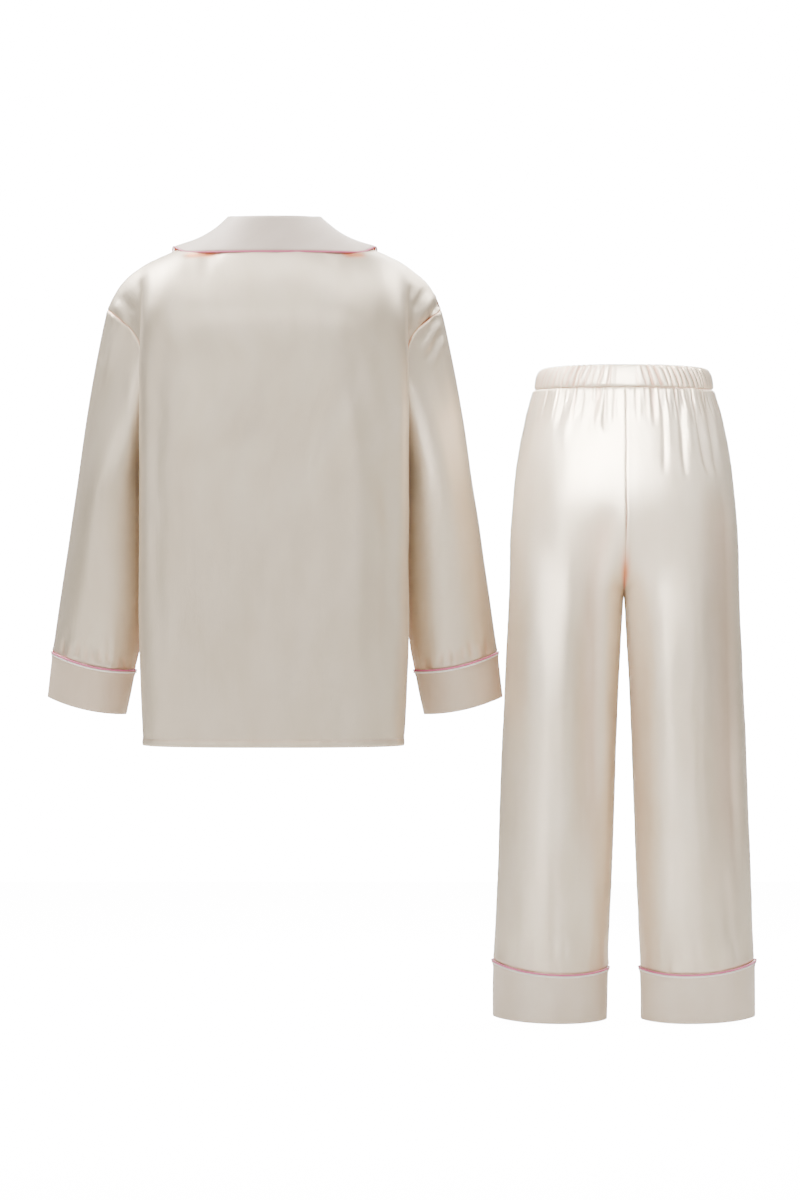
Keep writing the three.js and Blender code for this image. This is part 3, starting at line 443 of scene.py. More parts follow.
def row_height(row, column):
    share = (column / EDGE_COLUMN) ** 2
    if row > UNDERARM_ROW:
        sag = HEM_SAG if row == HEM_ROW else 0
        return LOWER_ROWS[row - UNDERARM_ROW - 1] - sag * (1 - share)
    middle = mix(CHEST_Z, UNDERARM_Z, (row - CHEST_ROW) / (UNDERARM_ROW - CHEST_ROW))
    edge = armhole_point(RIGHT, BACK, row * ARMHOLE["step"])[2]
    return mix(middle, edge, share)


def body_edge(side, face, row):
    if row <= UNDERARM_ROW:
        return armhole_point(side, face, row * ARMHOLE["step"])
    z = row_height(row, EDGE_COLUMN)
    return np.array([side * body("side", z), ARMHOLE["centre_y"], z])


def past_fold(fold, edge, column):
    t = (column - FOLD_COLUMN) / (EDGE_COLUMN - FOLD_COLUMN)
    return np.array([mix(fold[0], edge[0], t ** 0.5), mix(fold[1], edge[1], t), mix(fold[2], edge[2], t)])


def level_back(side, row, column):
    z = row_height(row, min(column, FOLD_COLUMN))
    turn = math.radians(90 * min(column, FOLD_COLUMN) / FOLD_COLUMN)
    fold_y = body("fold_y", z)
    x = side * body("fold", z) * math.sin(turn) ** (2 / ROUNDNESS)
    y = fold_y - (body("back", z) + fold_y) * max(0, math.cos(turn)) ** (2 / ROUNDNESS)
    point = np.array([x, y, z])
    return point if column <= FOLD_COLUMN else past_fold(point, body_edge(side, BACK, row), column)


def shoulder_point(side, column):
    x, y, z = BACK_NECK[column] if column < NECK_COLUMNS else SHOULDER[column - NECK_COLUMNS]
    return np.array([side * x, y, z], float)


def over_shoulder(start, end, share, hump):
    turn = math.radians(90 * share)
    out = mix(share, math.sin(turn), hump)
    down = mix(share, 1 - math.cos(turn), hump)
    return np.array([mix(start[0], end[0], share), mix(start[1], end[1], out), mix(start[2], end[2], down)])


def upper_point(side, face, row, column, level):
    """Between the shoulder seam and the chest, where the cloth rolls over the shoulder."""
    edge = body_edge(side, face, row)
    if column == EDGE_COLUMN:
        return edge
    share = row / (CHEST_ROW - 1)
    hump = mix(0.4, 0.95, float(ease(column / 6)))
    held = min(column, FOLD_COLUMN)
    chest = level(side, CHEST_ROW, held) + [0, 0, STRAIGHT_FROM]
    fold = over_shoulder(shoulder_point(side, held), chest, share, hump)
    if column <= FOLD_COLUMN:
        return fold
    if row == 0:
        return shoulder_point(side, column)
    t = (column - FOLD_COLUMN) / (EDGE_COLUMN - FOLD_COLUMN)
    bulge = DROP_BULGE * max(0, 1 - row / DROP_ROWS) * 4 * t * (1 - t)
    return mix(fold, edge, t) + np.array([side * 0.6 * bulge, 0, 0.7 * bulge])


def body_point(side, face, row, column, level):
    if row < CHEST_ROW:
        return upper_point(side, face, row, column, level)
    return body_edge(side, face, row) if column == EDGE_COLUMN else level(side, row, column)


back_grid = [[body_point(LEFT, BACK, row, column, level_back) for column in range(EDGE_COLUMN, 0, -1)]
             + [body_point(RIGHT, BACK, row, column, level_back) for column in range(EDGE_COLUMN + 1)]
             for row in range(HEM_ROW + 1)]
back = Cloth(soften(refined(back_grid, FINE), 18), heart=TOP_HEART)

# Drapes and creases: path from the top, width, depth. Below 0 is pressed in.
BACK_DRAPES = [
    ([(-150, -75), (-164, -240), (-166, -460), (-160, -690)], 17, -3.4),
    ([(-105, -110), (-118, -300), (-116, -520), (-112, -690)], 30, 2.4),
    ([(-30, -210), (-22, -420), (-26, -690)], 44, -2.2),
    ([(30, -150), (44, -330), (40, -560), (34, -690)], 26, -1.6),
    ([(100, -112), (124, -220), (152, -330), (171, -400)], 15, -2.6),
    ([(120, -130), (118, -330), (122, -560), (118, -690)], 20, 2.6),
    ([(160, -90), (164, -240), (163, -460), (158, -690)], 13, -3.0),
    ([(183, -100), (182, -300), (184, -500)], 8, 1.0),
    ([(-182, -90), (-181, -300), (-183, -500)], 8, 1.2),
    ([(-60, -560), (-52, -690)], 16, -1.2),
    ([(70, -540), (62, -690)], 16, -1.3),
    ([(-191, -36), (-191, -62), (-189, -110), (-189, -160)], (7, 3.2), -2.2),
    ([(197, -46), (193, -66), (191, -110), (190, -160)], (3.2, 7), -2.2),
    ([(-232, -72), (-218, -90), (-204, -108)], 5, 2.8),
    ([(-222, -62), (-208, -78), (-197, -94)], 5, -1.8),
    ([(239, -66), (223, -95), (203, -122)], 3.4, -4.2),
    ([(230, -58), (214, -84), (199, -106)], 5, 3.6),
    ([(218, -54), (206, -72), (197, -90)], 4, -2.6),
]
for path, width, depth in BACK_DRAPES:
    back.crease(path, width, depth, BACK)
# Painted warm shade on the back under each end of the collar, where the collar stands off it, and along the
# seams
for path in ([(-134, -9), (-106, -9), (-72, -8)], [(92, -7), (114, -8), (134, -9)]):
    back.crease(path, 4, -1.6, painted_glow=1)
back.drape(0.9, (34, 90), seed=11)
back.drape(0.35, (12, 34), seed=12)
back.sew("top", seed=13)
back.sew("start", seed=14, pucker=0.9, pitch=9, painted_glow=0.4)
back.sew("end", seed=15, pucker=1.0, pitch=9, painted_glow=0.4)

HEM_UP = 11


def turn_hem(cloth, seed):
    """The doubled cloth of a hem, drawn in along its stitches, with small ripples beside them, and a
    line of painted shade along the stitches.
    """
    off, along = cloth.off("foot"), cloth.along("foot")
    cloth.lift += 0.9 * ease((HEM_UP - off) / 2) - 1.3 * hill(off - HEM_UP, 1.7)
    cloth.lift += 0.9 * cloud(along, off, (12, 60), seed) * hill(off - HEM_UP / 2, HEM_UP)
    cloth.lift += 0.5 * cloud(along, off + along * 0.5, (5, 30), seed + 50) * hill(off - HEM_UP, 5)
    cloth.lift -= 0.6 * hill(off, 1.2)
    cloth.painted_shade_glow = np.maximum(cloth.painted_shade_glow, 0.2 * hill(off - HEM_UP, 1.4))


turn_hem(back, 16)


def mottled(name, pale, deep, scale, finish, place="Object", swirl=0):
    """A plain material whose colour drifts a little over the surface."""
    material = bpy.data.materials.new(name)
    material.use_nodes = True
    tree = material.node_tree
    spot = shader_node(tree, "TexCoord").outputs[place]
    noise = shader_node(tree, "TexNoise", {"Vector": spot, "Scale": scale, "Distortion": swirl})
    finish["Base Color"] = blend(tree, pale, deep, noise.outputs["Fac"])
    fill(tree, tree.nodes["Principled BSDF"], finish)
    return material


THREAD = mottled("satin thread", paint(222, 214, 203), paint(194, 183, 170), 1400,
                 {"Roughness": 0.5, "Sheen Weight": 0.2})
STITCH, STITCH_GAP = 2.4, 0.9
STITCH_PLACES = STITCH * np.array([0, 0.25, 0.75, 1])
STITCH_HEIGHTS, STITCH_RADII = (-0.15, 0.3, 0.3, -0.15), (0.084, 0.28, 0.28, 0.084)
THREAD_CORNERS, THREAD_RINGS = 6, 4


def add_thread(vertices, faces, centres, asides, overs, radii):
    """Adds a short six-sided thread, with a ring of corners round each of four centres."""
    first, last = len(vertices), len(vertices) + (THREAD_RINGS - 1) * THREAD_CORNERS
    turn = np.radians(np.arange(THREAD_CORNERS) * 360 / THREAD_CORNERS)
    for centre, aside, over, radius in zip(centres, asides, overs, radii):
        ring = centre + radius * (np.outer(np.cos(turn), aside) + np.outer(np.sin(turn), over))
        vertices += ring.tolist()
    faces.append(list(range(first + THREAD_CORNERS - 1, first - 1, -1)))
    for base in range(first, last, THREAD_CORNERS):
        for corner in range(THREAD_CORNERS):
            a, b = base + corner, base + (corner + 1) % THREAD_CORNERS
            faces.append([a, b, b + THREAD_CORNERS, a + THREAD_CORNERS])
    faces.append(list(range(last, last + THREAD_CORNERS)))


def stitches(name, points, directions):
    """A row of stitches laid on the cloth: each is a short thread, pulled down at its ends."""
    run = run_of(points)

    def at_length(values, length):
        return np.array([np.interp(length, run, values[:, axis]) for axis in range(3)])

    count = int(run[-1] / (STITCH + STITCH_GAP))
    vertices, faces = [], []
    for k in range(count):
        places = (k + 0.15) * run[-1] / count + STITCH_PLACES
        middles = [at_length(points, place) for place in places]
        outs = [at_length(directions, place) for place in places]
        asides = [unit(np.cross(out, at_length(points, place + 1) - middle))
                  for place, middle, out in zip(places, middles, outs)]
        centres = [middle + out * height for middle, out, height in zip(middles, outs, STITCH_HEIGHTS)]
        add_thread(vertices, faces, centres, asides, outs, STITCH_RADII)
    piece = solid(name, vertices, faces, THREAD, smooth=False)


back_cloth = back.build("back_cloth", SATIN)
dress("jacket_back")
stitches("back_hem_stitches", *back.above_foot(HEM_UP))

# The two fronts of the top: each runs from the shoulder seam to the hem, and the right one laps over
# the left at the middle. Above the top button they fall open. The side is seen only from the front,
# so it is finished plainly, with the same satin, hem and soft drapes.
SIDES = ((RIGHT, "right"), (LEFT, "left"))
LAP, OVERLAP, CORNER_Y = 18, 2.6, 58
LIFT_UNTIL, LIFT_FADE = 26, 75
BREAK_ROW = 10
FRONT_SPREAD = [0, 0.23, 0.44, 0.64, 0.84, 1]


def level_front(side, row, column):
    z = row_height(row, min(column, FOLD_COLUMN))
    corner, depth = body("corner", z), body("front", z)
    neck_edge = mix(SHOULDER[0][0], -LAP, min(1, row / BREAK_ROW) ** 0.9)
    x = mix(neck_edge, corner, FRONT_SPREAD[min(column, FOLD_COLUMN) - NECK_COLUMNS])
    round_part = max(0, 1 - min(1, abs(x) / corner) ** ROUNDNESS) ** (1 / ROUNDNESS)
    lift = OVERLAP * (1 - float(ease((x - LIFT_UNTIL) / LIFT_FADE))) if side == RIGHT else 0
    point = np.array([side * x, CORNER_Y + (depth - CORNER_Y) * round_part + lift, z])
    return point if column <= FOLD_COLUMN else past_fold(point, body_edge(side, FRONT, row), column)


FRONT_DRAPES = [
    ([(128, -90), (120, -230), (126, -420), (120, -690)], 18, -3.0),
    ([(92, -120), (86, -320), (88, -560), (90, -690)], 22, 2.2),
    ([(52, -230), (56, -420), (52, -690)], 20, -2.0),
    ([(164, -190), (120, -250), (70, -290)], 12, -1.8),
    ([(150, -140), (140, -60), (128, -14)], 12, -1.4),
]
fronts = {}
for side, word in SIDES:
    grid = [[body_point(side, FRONT, row, column, level_front)
             for column in range(NECK_COLUMNS, EDGE_COLUMN + 1)] for row in range(HEM_ROW + 1)]
    front = Cloth(soften(refined(grid, FINE), 22), heart=TOP_HEART)
    for path, width, depth in FRONT_DRAPES:
        shift = 6 * math.sin(path[0][0] + side)
        front.crease([(side * (x + shift), z) for x, z in path], width, depth, FRONT)
    front.drape(0.8, (30, 80), seed=21 + side)
    front.sew("top", seed=23 + side)
    front.sew("end", seed=26 + side, pucker=0.45)
    front.lift -= 0.5 * hill(front.off("start"), 1.0)
    turn_hem(front, 28 + side)
    piece = front.build(f"front_{word}_cloth", SATIN)
    dress(f"jacket_front_{word}")
    stitches(f"front_{word}_hem_stitches", *front.above_foot(HEM_UP))
    fronts[side] = (front, np.array(grid))

# The sleeves: each is one cut, closed by a seam under the arm and sewn into the dropped armhole.
# They hang beside the body, just behind its folded sides, and a few folds run down from the seam.
SLEEVE = {"at": [0, 1, 2, 3, 4],
          "outer_x": [281, 291, 303, 311, 316.5], "outer_z": [-328, -396, -478, -530, -571],
          "inner_x": [185, 186, 187, 190, 199.5], "inner_z": [-336, -410, -496, -552, -597],
          "centre_y": [17, 24, 32, 37, 42], "half_depth": [78, 73, 66, 61, 58], "drop": [0, 2, 4, 6, 8]}
SLEEVE_COLUMNS, CAP_ROWS, RING_ROWS = 24, 5, 5
CAP_BULGE, UNDERARM_BULGE = 3, 6
SLEEVE_FULL, FULL_PLACE, FULL_WIDTH = 3.5, 0.385, 0.085
SLEEVE_FINE, FOLD_SHARE = 3.2, 0.75


def slanted_ring(table, at, side, columns=SLEEVE_COLUMNS):
    """A ring round the arm, from its outer end round by the back."""
    value = {key: float(through(table["at"], table[key], at)) for key in table}
    turn = np.radians(np.arange(columns) * 360 / columns)
    middle_x = (value["outer_x"] + value["inner_x"]) / 2
    middle_z = (value["outer_z"] + value["inner_z"]) / 2
    x = middle_x + (value["outer_x"] - value["inner_x"]) / 2 * np.cos(turn)
    z = middle_z + (value["outer_z"] - value["inner_z"]) / 2 * np.cos(turn)
    z -= value["drop"] * np.maximum(0, np.sin(turn)) ** 2
    return np.stack([side * x, value["centre_y"] - value["half_depth"] * np.sin(turn), z], axis=1)


def sleeve_grid(side):
    angles = np.arange(SLEEVE_COLUMNS) * ARMHOLE["step"]
    cap = np.array([armhole_point(side, BACK, a) if a <= 180 else armhole_point(side, FRONT, 360 - a)
                    for a in angles])
    first = slanted_ring(SLEEVE, 0, side)
    outward = np.cos(np.radians(angles))
    swell = np.where(outward > 0, CAP_BULGE * outward, UNDERARM_BULGE * (0.3 - outward))
    rows = []
    for k in range(CAP_ROWS):
        share = k / CAP_ROWS
        bulge = 4 * share * (1 - share) * swell
        rows.append(mix(cap, first, share) + np.outer(bulge, [side, 0, 0]))
    for k in range(RING_ROWS + 1):
        rows.append(slanted_ring(SLEEVE, k / RING_ROWS * (len(SLEEVE["at"]) - 1), side))
    return rows


SLEEVE_FOLDS = {
    LEFT: [
        ([(-233, -92), (-240, -130), (-246, -170)], (2.6, 5), -2.0),
        ([(-226, -96), (-233, -140), (-240, -190)], 5, 1.4),
        ([(-262, -200), (-272, -300), (-284, -420), (-296, -540)], 14, -2.4),
        ([(-246, -180), (-250, -320), (-262, -470), (-272, -560)], 16, 1.8),
        ([(-214, -180), (-216, -300), (-222, -430), (-230, -560)], 15, -1.2),
        ([(-204, -150), (-204, -240), (-206, -330)], 7, 1.2),
        ([(-236, -540), (-232, -588)], 4, -1.0),
        ([(-262, -548), (-262, -578)], 4, -0.9),
        ([(-292, -536), (-296, -564)], 4, -0.9),
    ],
    RIGHT: [
        ([(236, -88), (220, -112), (203, -140)], 3.6, -3.6),
        ([(238, -98), (224, -124), (208, -152)], 3.4, 2.8),
        ([(239, -110), (229, -134), (214, -164)], 4, -2.8),
        ([(241, -122), (232, -146), (221, -172)], 4, 1.8),
        ([(236, -100), (240, -140), (246, -180)], 4, 1.0),
        ([(226, -150), (222, -240), (228, -340), (240, -460)], 18, 1.3),
        ([(206, -170), (206, -280), (212, -400), (222, -540)], 14, -1.2),
        ([(258, -200), (266, -310), (276, -430), (286, -550)], 15, -2.2),
        ([(270, -240), (284, -380), (300, -520)], 9, 1.4),
        ([(243, -544), (240, -584)], 4, -1.0),
        ([(262, -540), (264, -578)], 4.5, 0.9),
        ([(288, -534), (293, -566)], 4, -0.9),
        ([(304, -520), (309, -556)], 3.5, -0.8),
    ],
}
SLEEVE_FRONT_FOLDS = [
    ([(226, -160), (232, -290), (246, -420), (262, -560)], 15, -2.2),
    ([(206, -200), (214, -330), (226, -470), (240, -580)], 13, 1.8),
    ([(256, -180), (268, -310), (282, -450), (294, -560)], 12, 1.5),
    ([(238, -110), (226, -150), (212, -190)], 6, -1.5),
    ([(250, -545), (252, -584)], 4, -0.9),
    ([(284, -535), (288, -572)], 4, 0.8),
]
# Short puckers above the cuff, both sides: x at the cuff, lean, length, depth
SLEEVE_PUCKERS = [
    (303, 5, 26, -1.9), (292, 2, 22, 1.4), (281, 6, 30, -2.0), (268, 1, 24, -1.6), (257, -3, 20, 1.5),
    (247, -2, 26, -2.0), (234, -5, 22, -1.5), (221, -2, 18, 1.2), (211, -5, 20, -1.4),
]
PUCKER_WIDTH, PUCKER_PAINTED_SHADE = 3.0, 0.12
FOOT_OUTER, FOOT_INNER = (316, -571), (200, -597)
PAINTED_GLOW_BEHIND, PAINTED_GLOW_CLOSE = 0.05, 0.3


def sleeve_foot(x):
    """The height of a sleeve's slanting foot seam."""
    share = (FOOT_OUTER[0] - x) / (FOOT_OUTER[0] - FOOT_INNER[0])
    return mix(FOOT_OUTER[1], FOOT_INNER[1], share)


for side, word in SIDES:
    sleeve = Cloth(soften(refined(sleeve_grid(side), SLEEVE_FINE, closed=True), 34, held=50),
                   heart=(side * 240, 20, -350), closed=True)
    for path, width, depth in SLEEVE_FOLDS[side]:
        sleeve.crease(path, width, depth * FOLD_SHARE, BACK)
    for x, lean, length, depth in SLEEVE_PUCKERS:
        path = [(side * (x - lean * part), sleeve_foot(x) + length * up)
                for part, up in ((0, 0), (0.4, 0.5), (1, 1))]
        sleeve.crease(path, PUCKER_WIDTH, depth, fade=(0.05, 0.6), painted_glow=PUCKER_PAINTED_SHADE)
    for path, width, depth in SLEEVE_FRONT_FOLDS:
        sleeve.crease([(side * x, z) for x, z in path], width, depth, FRONT)
    sleeve.drape(0.7, (26, 80), seed=31 + side)
    sleeve.sew("top", seed=33 + side, pucker=1.1, tuck=1.5, pitch=9, reach=16, painted_glow=0.45)
    sleeve.sew("foot", seed=36 + side, pucker=2.6, tuck=0.8, pitch=8, reach=15)
    top, whole_way = sleeve.off("top"), sleeve.across[:, -1:] + FINE
    underarm = np.abs(sleeve.across - whole_way / 2)
    full = hill(sleeve.across / whole_way - FULL_PLACE, FULL_WIDTH) * ease((top - 25) / 90)
    sleeve.lift += SLEEVE_FULL * full * ease(sleeve.off("foot") / 120) - 0.6 * hill(underarm, 1.6)
    # Painted warm shade and glow on the sleeve's inner side, strongest where it hangs close to the body
    behind = ease((top - 40) / 170) * ease((66 - underarm) / 40)
    close = ease((top - 60) / 200) * ease((26 - underarm) / 18)
    sleeve.painted_shade_glow = np.maximum(sleeve.painted_shade_glow, PAINTED_GLOW_BEHIND * behind + PAINTED_GLOW_CLOSE * close)
    piece = sleeve.build(f"sleeve_{word}_cloth", SATIN)
    dress(f"sleeve_{word}")

# The sleeve cuffs: a straight band of doubled satin below each sleeve, plain and crisp, with a soft
# roll under the piping and a folded lower edge.
SLEEVE_CUFF = {"at": [0, 1, 2],
               "outer_x": [317, 321, 324.5], "outer_z": [-571, -604, -635],
               "inner_x": [199, 205, 212], "inner_z": [-597, -629, -660],
               "centre_y": [42, 46, 50], "half_depth": [59, 59, 58], "drop": [8, 7, 6]}
CUFF_CLOTH, CUFF_FINE = 2.2, 3
SEAM_DROP = 0.55
CRISP = {"rough": (0.5, 0.58), "metal": 0.2}
CUFF_SATIN = satin("cuff satin", paint(208, 188, 166), paint(201, 180, 156), PAINTED_GLOW_COLOUR, **CRISP)


def finish_cuff(cuff, seed):
    """A cuff's rolled top edge, its folded foot, and the slight waviness between."""
    top, foot = cuff.off("top"), cuff.off("foot")
    cuff.lift += 0.9 * hill(top - 4.2, 3) - hill(top, 1.2) - 0.5 * hill(foot, 0.9)
    cuff.lift += 0.35 * cloud(cuff.across, cuff.down, (24, 40), seed)
    cuff.lift += 0.25 * cloud(cuff.across, cuff.down, (7, 30), seed + 1) * np.exp(-top / 9)


for side, word in SIDES:
    rows = [slanted_ring(SLEEVE_CUFF, at, side) for at in (0, 1, 2)]
    rows[0] = rows[0] - [0, 0, SEAM_DROP]
    cuff = Cloth(refined(rows, CUFF_FINE, closed=True), heart=(side * 262, 46, -615), closed=True)
    finish_cuff(cuff, 41 + side)
    piece = cuff.build(f"sleeve_cuff_{word}_cloth", CUFF_SATIN, thick=CUFF_CLOTH)
    dress(f"sleeve_cuff_{word}")

# The pipings: a thin cord covered in mauve pink satin, caught in each cuff seam and standing just
# proud of it, a little uneven as a hand-fed cord is. Under it the cuff's satin edge is rolled tight,
# as a cord whose near-white colour is a painted highlight that shows as a thin pale line.
PIPING_RADIUS, PIPING_CLEAR = 1.25, 1.75
EDGE_RADIUS, EDGE_CLEAR, EDGE_DROP = 1.2, 1.2, 2.8
CORD_SIDES, CORD_STEP = 10, 2.5
PINK = satin("pink piping satin", paint(216, 118, 148), paint(202, 102, 134), paint(186, 88, 112),
             rough=(0.4, 0.5), sheen=0.2, metal=0.05)
# Near-white satin for the rolled edge: its pale colour is a painted highlight
PAINTED_HIGHLIGHT_EDGE_SATIN = satin("rolled edge painted highlight satin", paint(252, 249, 240), paint(246, 242, 231), PAINTED_GLOW_COLOUR,
                   rough=(0.4, 0.45), sheen=0.3, metal=0.05)


def cord(name, line, radius=PIPING_RADIUS, material=PINK, closed=True):
    """A round cord along a line of points."""
    line = np.array(line)
    run = np.concatenate([line[-3:], line, line[:4]]) if closed else line
    knots = run_of(run)
    start, end = (knots[3], knots[3 + len(line)]) if closed else (knots[0], knots[-1])
    count = round((end - start) / CORD_STEP)
    places = np.linspace(start, end, count + 1)[:count + (0 if closed else 1)]
    middle = through(knots, run, places)
    ahead = np.roll(middle, -1, 0) - np.roll(middle, 1, 0) if closed else np.gradient(middle, axis=0)
    ahead = unit(ahead)
    aside = unit(np.cross(ahead, [0, 0, 1]))
    over = np.cross(aside, ahead)
    size = radius * (1 + 0.06 * cloud(places, places * 0, (9, 1), 51))
    turn = np.radians(np.arange(CORD_SIDES) * 360 / CORD_SIDES)[None, :, None]
    ring = aside[:, None] * np.cos(turn) + over[:, None] * np.sin(turn)
    ring = middle[:, None] + size[:, None, None] * ring
    number = np.arange(len(middle) * CORD_SIDES).reshape(len(middle), CORD_SIDES)
    around = np.concatenate([number, number[:, :1]], axis=1)
    around = np.concatenate([around, around[:1]], axis=0) if closed else around
    faces = squares(around).reshape(-1, 4).tolist()
    if not closed:
        faces += [number[0, ::-1].tolist(), number[-1].tolist()]
    piece = solid(name, ring.reshape(-1, 3), faces, material)
    layer = piece.data.uv_layers.new(name="cloth")
    owners = np.zeros(len(piece.data.loops), int)
    piece.data.loops.foreach_get("vertex_index", owners)
    spots = np.stack([owners % CORD_SIDES * 0.8, places[owners // CORD_SIDES]], axis=1) * MM
    layer.data.foreach_set("uv", spots.reshape(-1))
    return piece


def beside_seam(ring, clear):
    """A ring a little outside a seam's ring."""
    out = unit(np.cross(np.roll(ring, -1, 0) - np.roll(ring, 1, 0), [0, 0, 1]))
    inward = (out * (ring - ring.mean(0))).sum() < 0
    return ring + (-out if inward else out) * clear


def trim_cuff(part, word, ring):
    piping = cord(f"{part}_piping_{word}_cord", beside_seam(ring, PIPING_CLEAR))
    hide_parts(f"{part}_piping_{word}")
    # The rolled edge under the piping, in near-white satin as a painted highlight
    cord(f"{part}_roll_{word}", beside_seam(ring - [0, 0, EDGE_DROP], EDGE_CLEAR), EDGE_RADIUS, PAINTED_HIGHLIGHT_EDGE_SATIN)


for side, word in SIDES:
    trim_cuff("sleeve", word, slanted_ring(SLEEVE_CUFF, 0, side))

# The collar: a convertible collar of doubled, faced satin. It stands up from the neck seam, rolls
# over and falls to a free edge that stands off the shoulders, so a gap shows under its ends, with
# painted warm shade on the back and on the collar's inside.
COLLAR = [
    ((0, -66, 8), (0, -61, 46.5), (0, -80, -3), 1),
    ((32, -60, 10), (30, -55, 46.5), (48, -76, -3), 1.5),
    ((58, -40, 14), (53, -36, 46.5), (92, -58, -3), 2),
    ((75, -2, 20), (66, -4, 46.5), (126, -38, -2), 1.5),
    ((65, 27, 6), (60, 27, 36), (142, -3, 6), 1),
    ((55, 54, -16), (52, 58, 6), (141, 40, -9), 0),
    ((46, 79, -46), (44, 85, -30), (124, 76, -36), 0),
    ((43, 86, -57), (41, 93, -45), (103, 95, -56), -1),
]
COLLAR_SECTIONS, COLLAR_FINE = 28, 3
COLLAR_CLOTH, ROLL_RADIUS, COLLAR_LIFT = 2.0, 3.2, 0.7
COLLAR_HEART = (0, 0, -40)


def centripetal(points, share):
    """A point on the smooth line through points, whose speed follows the root of their distances."""
    place = share * (len(points) - 1)
    i = min(int(place), len(points) - 2)
    t = place - i
    b, c = points[i], points[i + 1]
    a = points[i - 1] if i > 0 else 2 * b - c
    d = points[i + 2] if i + 2 < len(points) else 2 * c - b
    before, here, after = (np.linalg.norm(q - p) ** 0.5 for p, q in ((a, b), (b, c), (c, d)))
    leave = ((b - a) / before - (c - a) / (before + here) + (c - b) / here) * here
    arrive = ((c - b) / here - (d - b) / (here + after) + (d - c) / after) * here
    return curve(b, c, leave, arrive, t)


def collar_line(part):
    half = [np.array(station[part], float) for station in COLLAR]
    return [point * [-1, 1, 1] for point in half[:0:-1]] + half


collar_lines = [collar_line(part) for part in range(3)]
sections = []
for k in range(COLLAR_SECTIONS + 1):
    share = k / COLLAR_SECTIONS
    seam, roll, edge = (centripetal(line, share) for line in collar_lines)
    up = unit(roll - seam)
    out = unit((edge - roll) - up * ((edge - roll) @ up))
    place = abs(share * 2 - 1) * (len(COLLAR) - 1)
    station = min(len(COLLAR) - 2, int(place))
    sag = mix(COLLAR[station][3], COLLAR[station + 1][3], place - station)
    rolled = [roll + out * aside * ROLL_RADIUS - up * down * ROLL_RADIUS
              for aside, down in ((-1, 1), (-0.7, 0.3), (0, 0), (0.7, 0.3), (1, 1))]
    fall = [mix(rolled[-1], edge, t) - np.array([0, 0, sag * 4 * t * (1 - t)]) for t in (0.34, 0.67)]
    sections.append([seam + up * COLLAR_LIFT] + rolled + fall + [edge])
sections = np.array(sections)
COLLAR_SATIN = satin("collar satin", paint(216, 200, 186), paint(210, 193, 178), paint(226, 118, 66),
                     rough=(0.56, 0.64), metal=0.08)
collar_surface = refined(sections.swapaxes(0, 1), COLLAR_FINE, close="foot start end")
collar = Cloth(collar_surface, heart=COLLAR_HEART)
middle_column = collar.points.shape[1] // 2
if collar.out[-3, middle_column, 1] > 0:
    collar.out = -collar.out
collar.drape(0.4, (30, 20), seed=61)
collar.lift -= 0.5 * hill(collar.off("foot"), 0.9)
collar.crease([(18, 40), (22, 0)], 5, -0.5, BACK)
collar.crease([(-70, 40), (-84, 0)], 8, -0.6, BACK)
collar.crease([(66, 40), (84, 4)], 8, 0.6, BACK)
# The collar's inside gets strong painted warm shade in its deep orange painted_glow colour
collar_piece = collar.build("collar_cloth", COLLAR_SATIN, thick=COLLAR_CLOTH, inside_painted_shade=0.85)
dress("collar")

coarse_collar = Cloth(sections.swapaxes(0, 1), heart=COLLAR_HEART)
toward = coarse_collar.out if coarse_collar.out[-2, COLLAR_SECTIONS // 2, 1] > 0 else -coarse_collar.out
middle_cloth = sections.swapaxes(0, 1) + toward * 1.1
EDGE_ROW = 8


def beyond(row, column, row_from, column_from):
    return unit(sections[column, row] - sections[column_from, row_from]) * PIPING_CLEAR


def front_end(k, following):
    """The collar piping's turn round a corner and a short way up the collar's front end."""
    ends = [middle_cloth[row, k] + beyond(row, k, row, following) for row in (EDGE_ROW - 2, EDGE_ROW - 1)]
    corner = beyond(EDGE_ROW, k, EDGE_ROW, following) + beyond(EDGE_ROW, k, EDGE_ROW - 1, k)
    return ends + [middle_cloth[EDGE_ROW, k] + corner]


edge_line = [middle_cloth[EDGE_ROW, k] + beyond(EDGE_ROW, k, EDGE_ROW - 1, k)
             for k in range(COLLAR_SECTIONS + 1)]
collar_trim = front_end(0, 1) + edge_line + front_end(COLLAR_SECTIONS, COLLAR_SECTIONS - 1)[::-1]
collar_piping = cord("collar_piping_cord", collar_trim, closed=False)
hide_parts("collar_piping")

# The lapels: the tops of the fronts, faced with the same satin and turned back flat below the
# collar's ends. Each tapers to a point where the fronts close.
LAPEL_TOP, LAPEL_FOOT, LAPEL_WIDTH, LAPEL_TAPER = 3.75, 7.6, 64, 0.93
LAPEL_INSET, LAPEL_CLEAR, LAPEL_CLOTH = 1.5, 3.7, 1.5
LAPEL_ACROSS, LAPEL_DOWN = 4, 6


def on_front(side, row, distance):
    """A point of a front and its outward direction, at a row and a distance from its free edge."""
    grid = fronts[side][1]
    out = Cloth(grid, heart=TOP_HEART).out
    found = []
    for whole in (int(row), int(row) + 1):
        reach, j = distance, 0
        lengths = np.linalg.norm(np.diff(grid[whole], axis=0), axis=1)
        while j + 1 < len(lengths) and reach > lengths[j]:
            reach -= lengths[j]
            j += 1
        t = reach / lengths[j]
        found.append((mix(grid[whole, j], grid[whole, j + 1], t),
                      unit(mix(out[whole, j], out[whole, j + 1], t))))
    (upper, upper_out), (lower, lower_out) = found
    t = row - int(row)
    return mix(upper, lower, t), unit(mix(upper_out, lower_out, t))


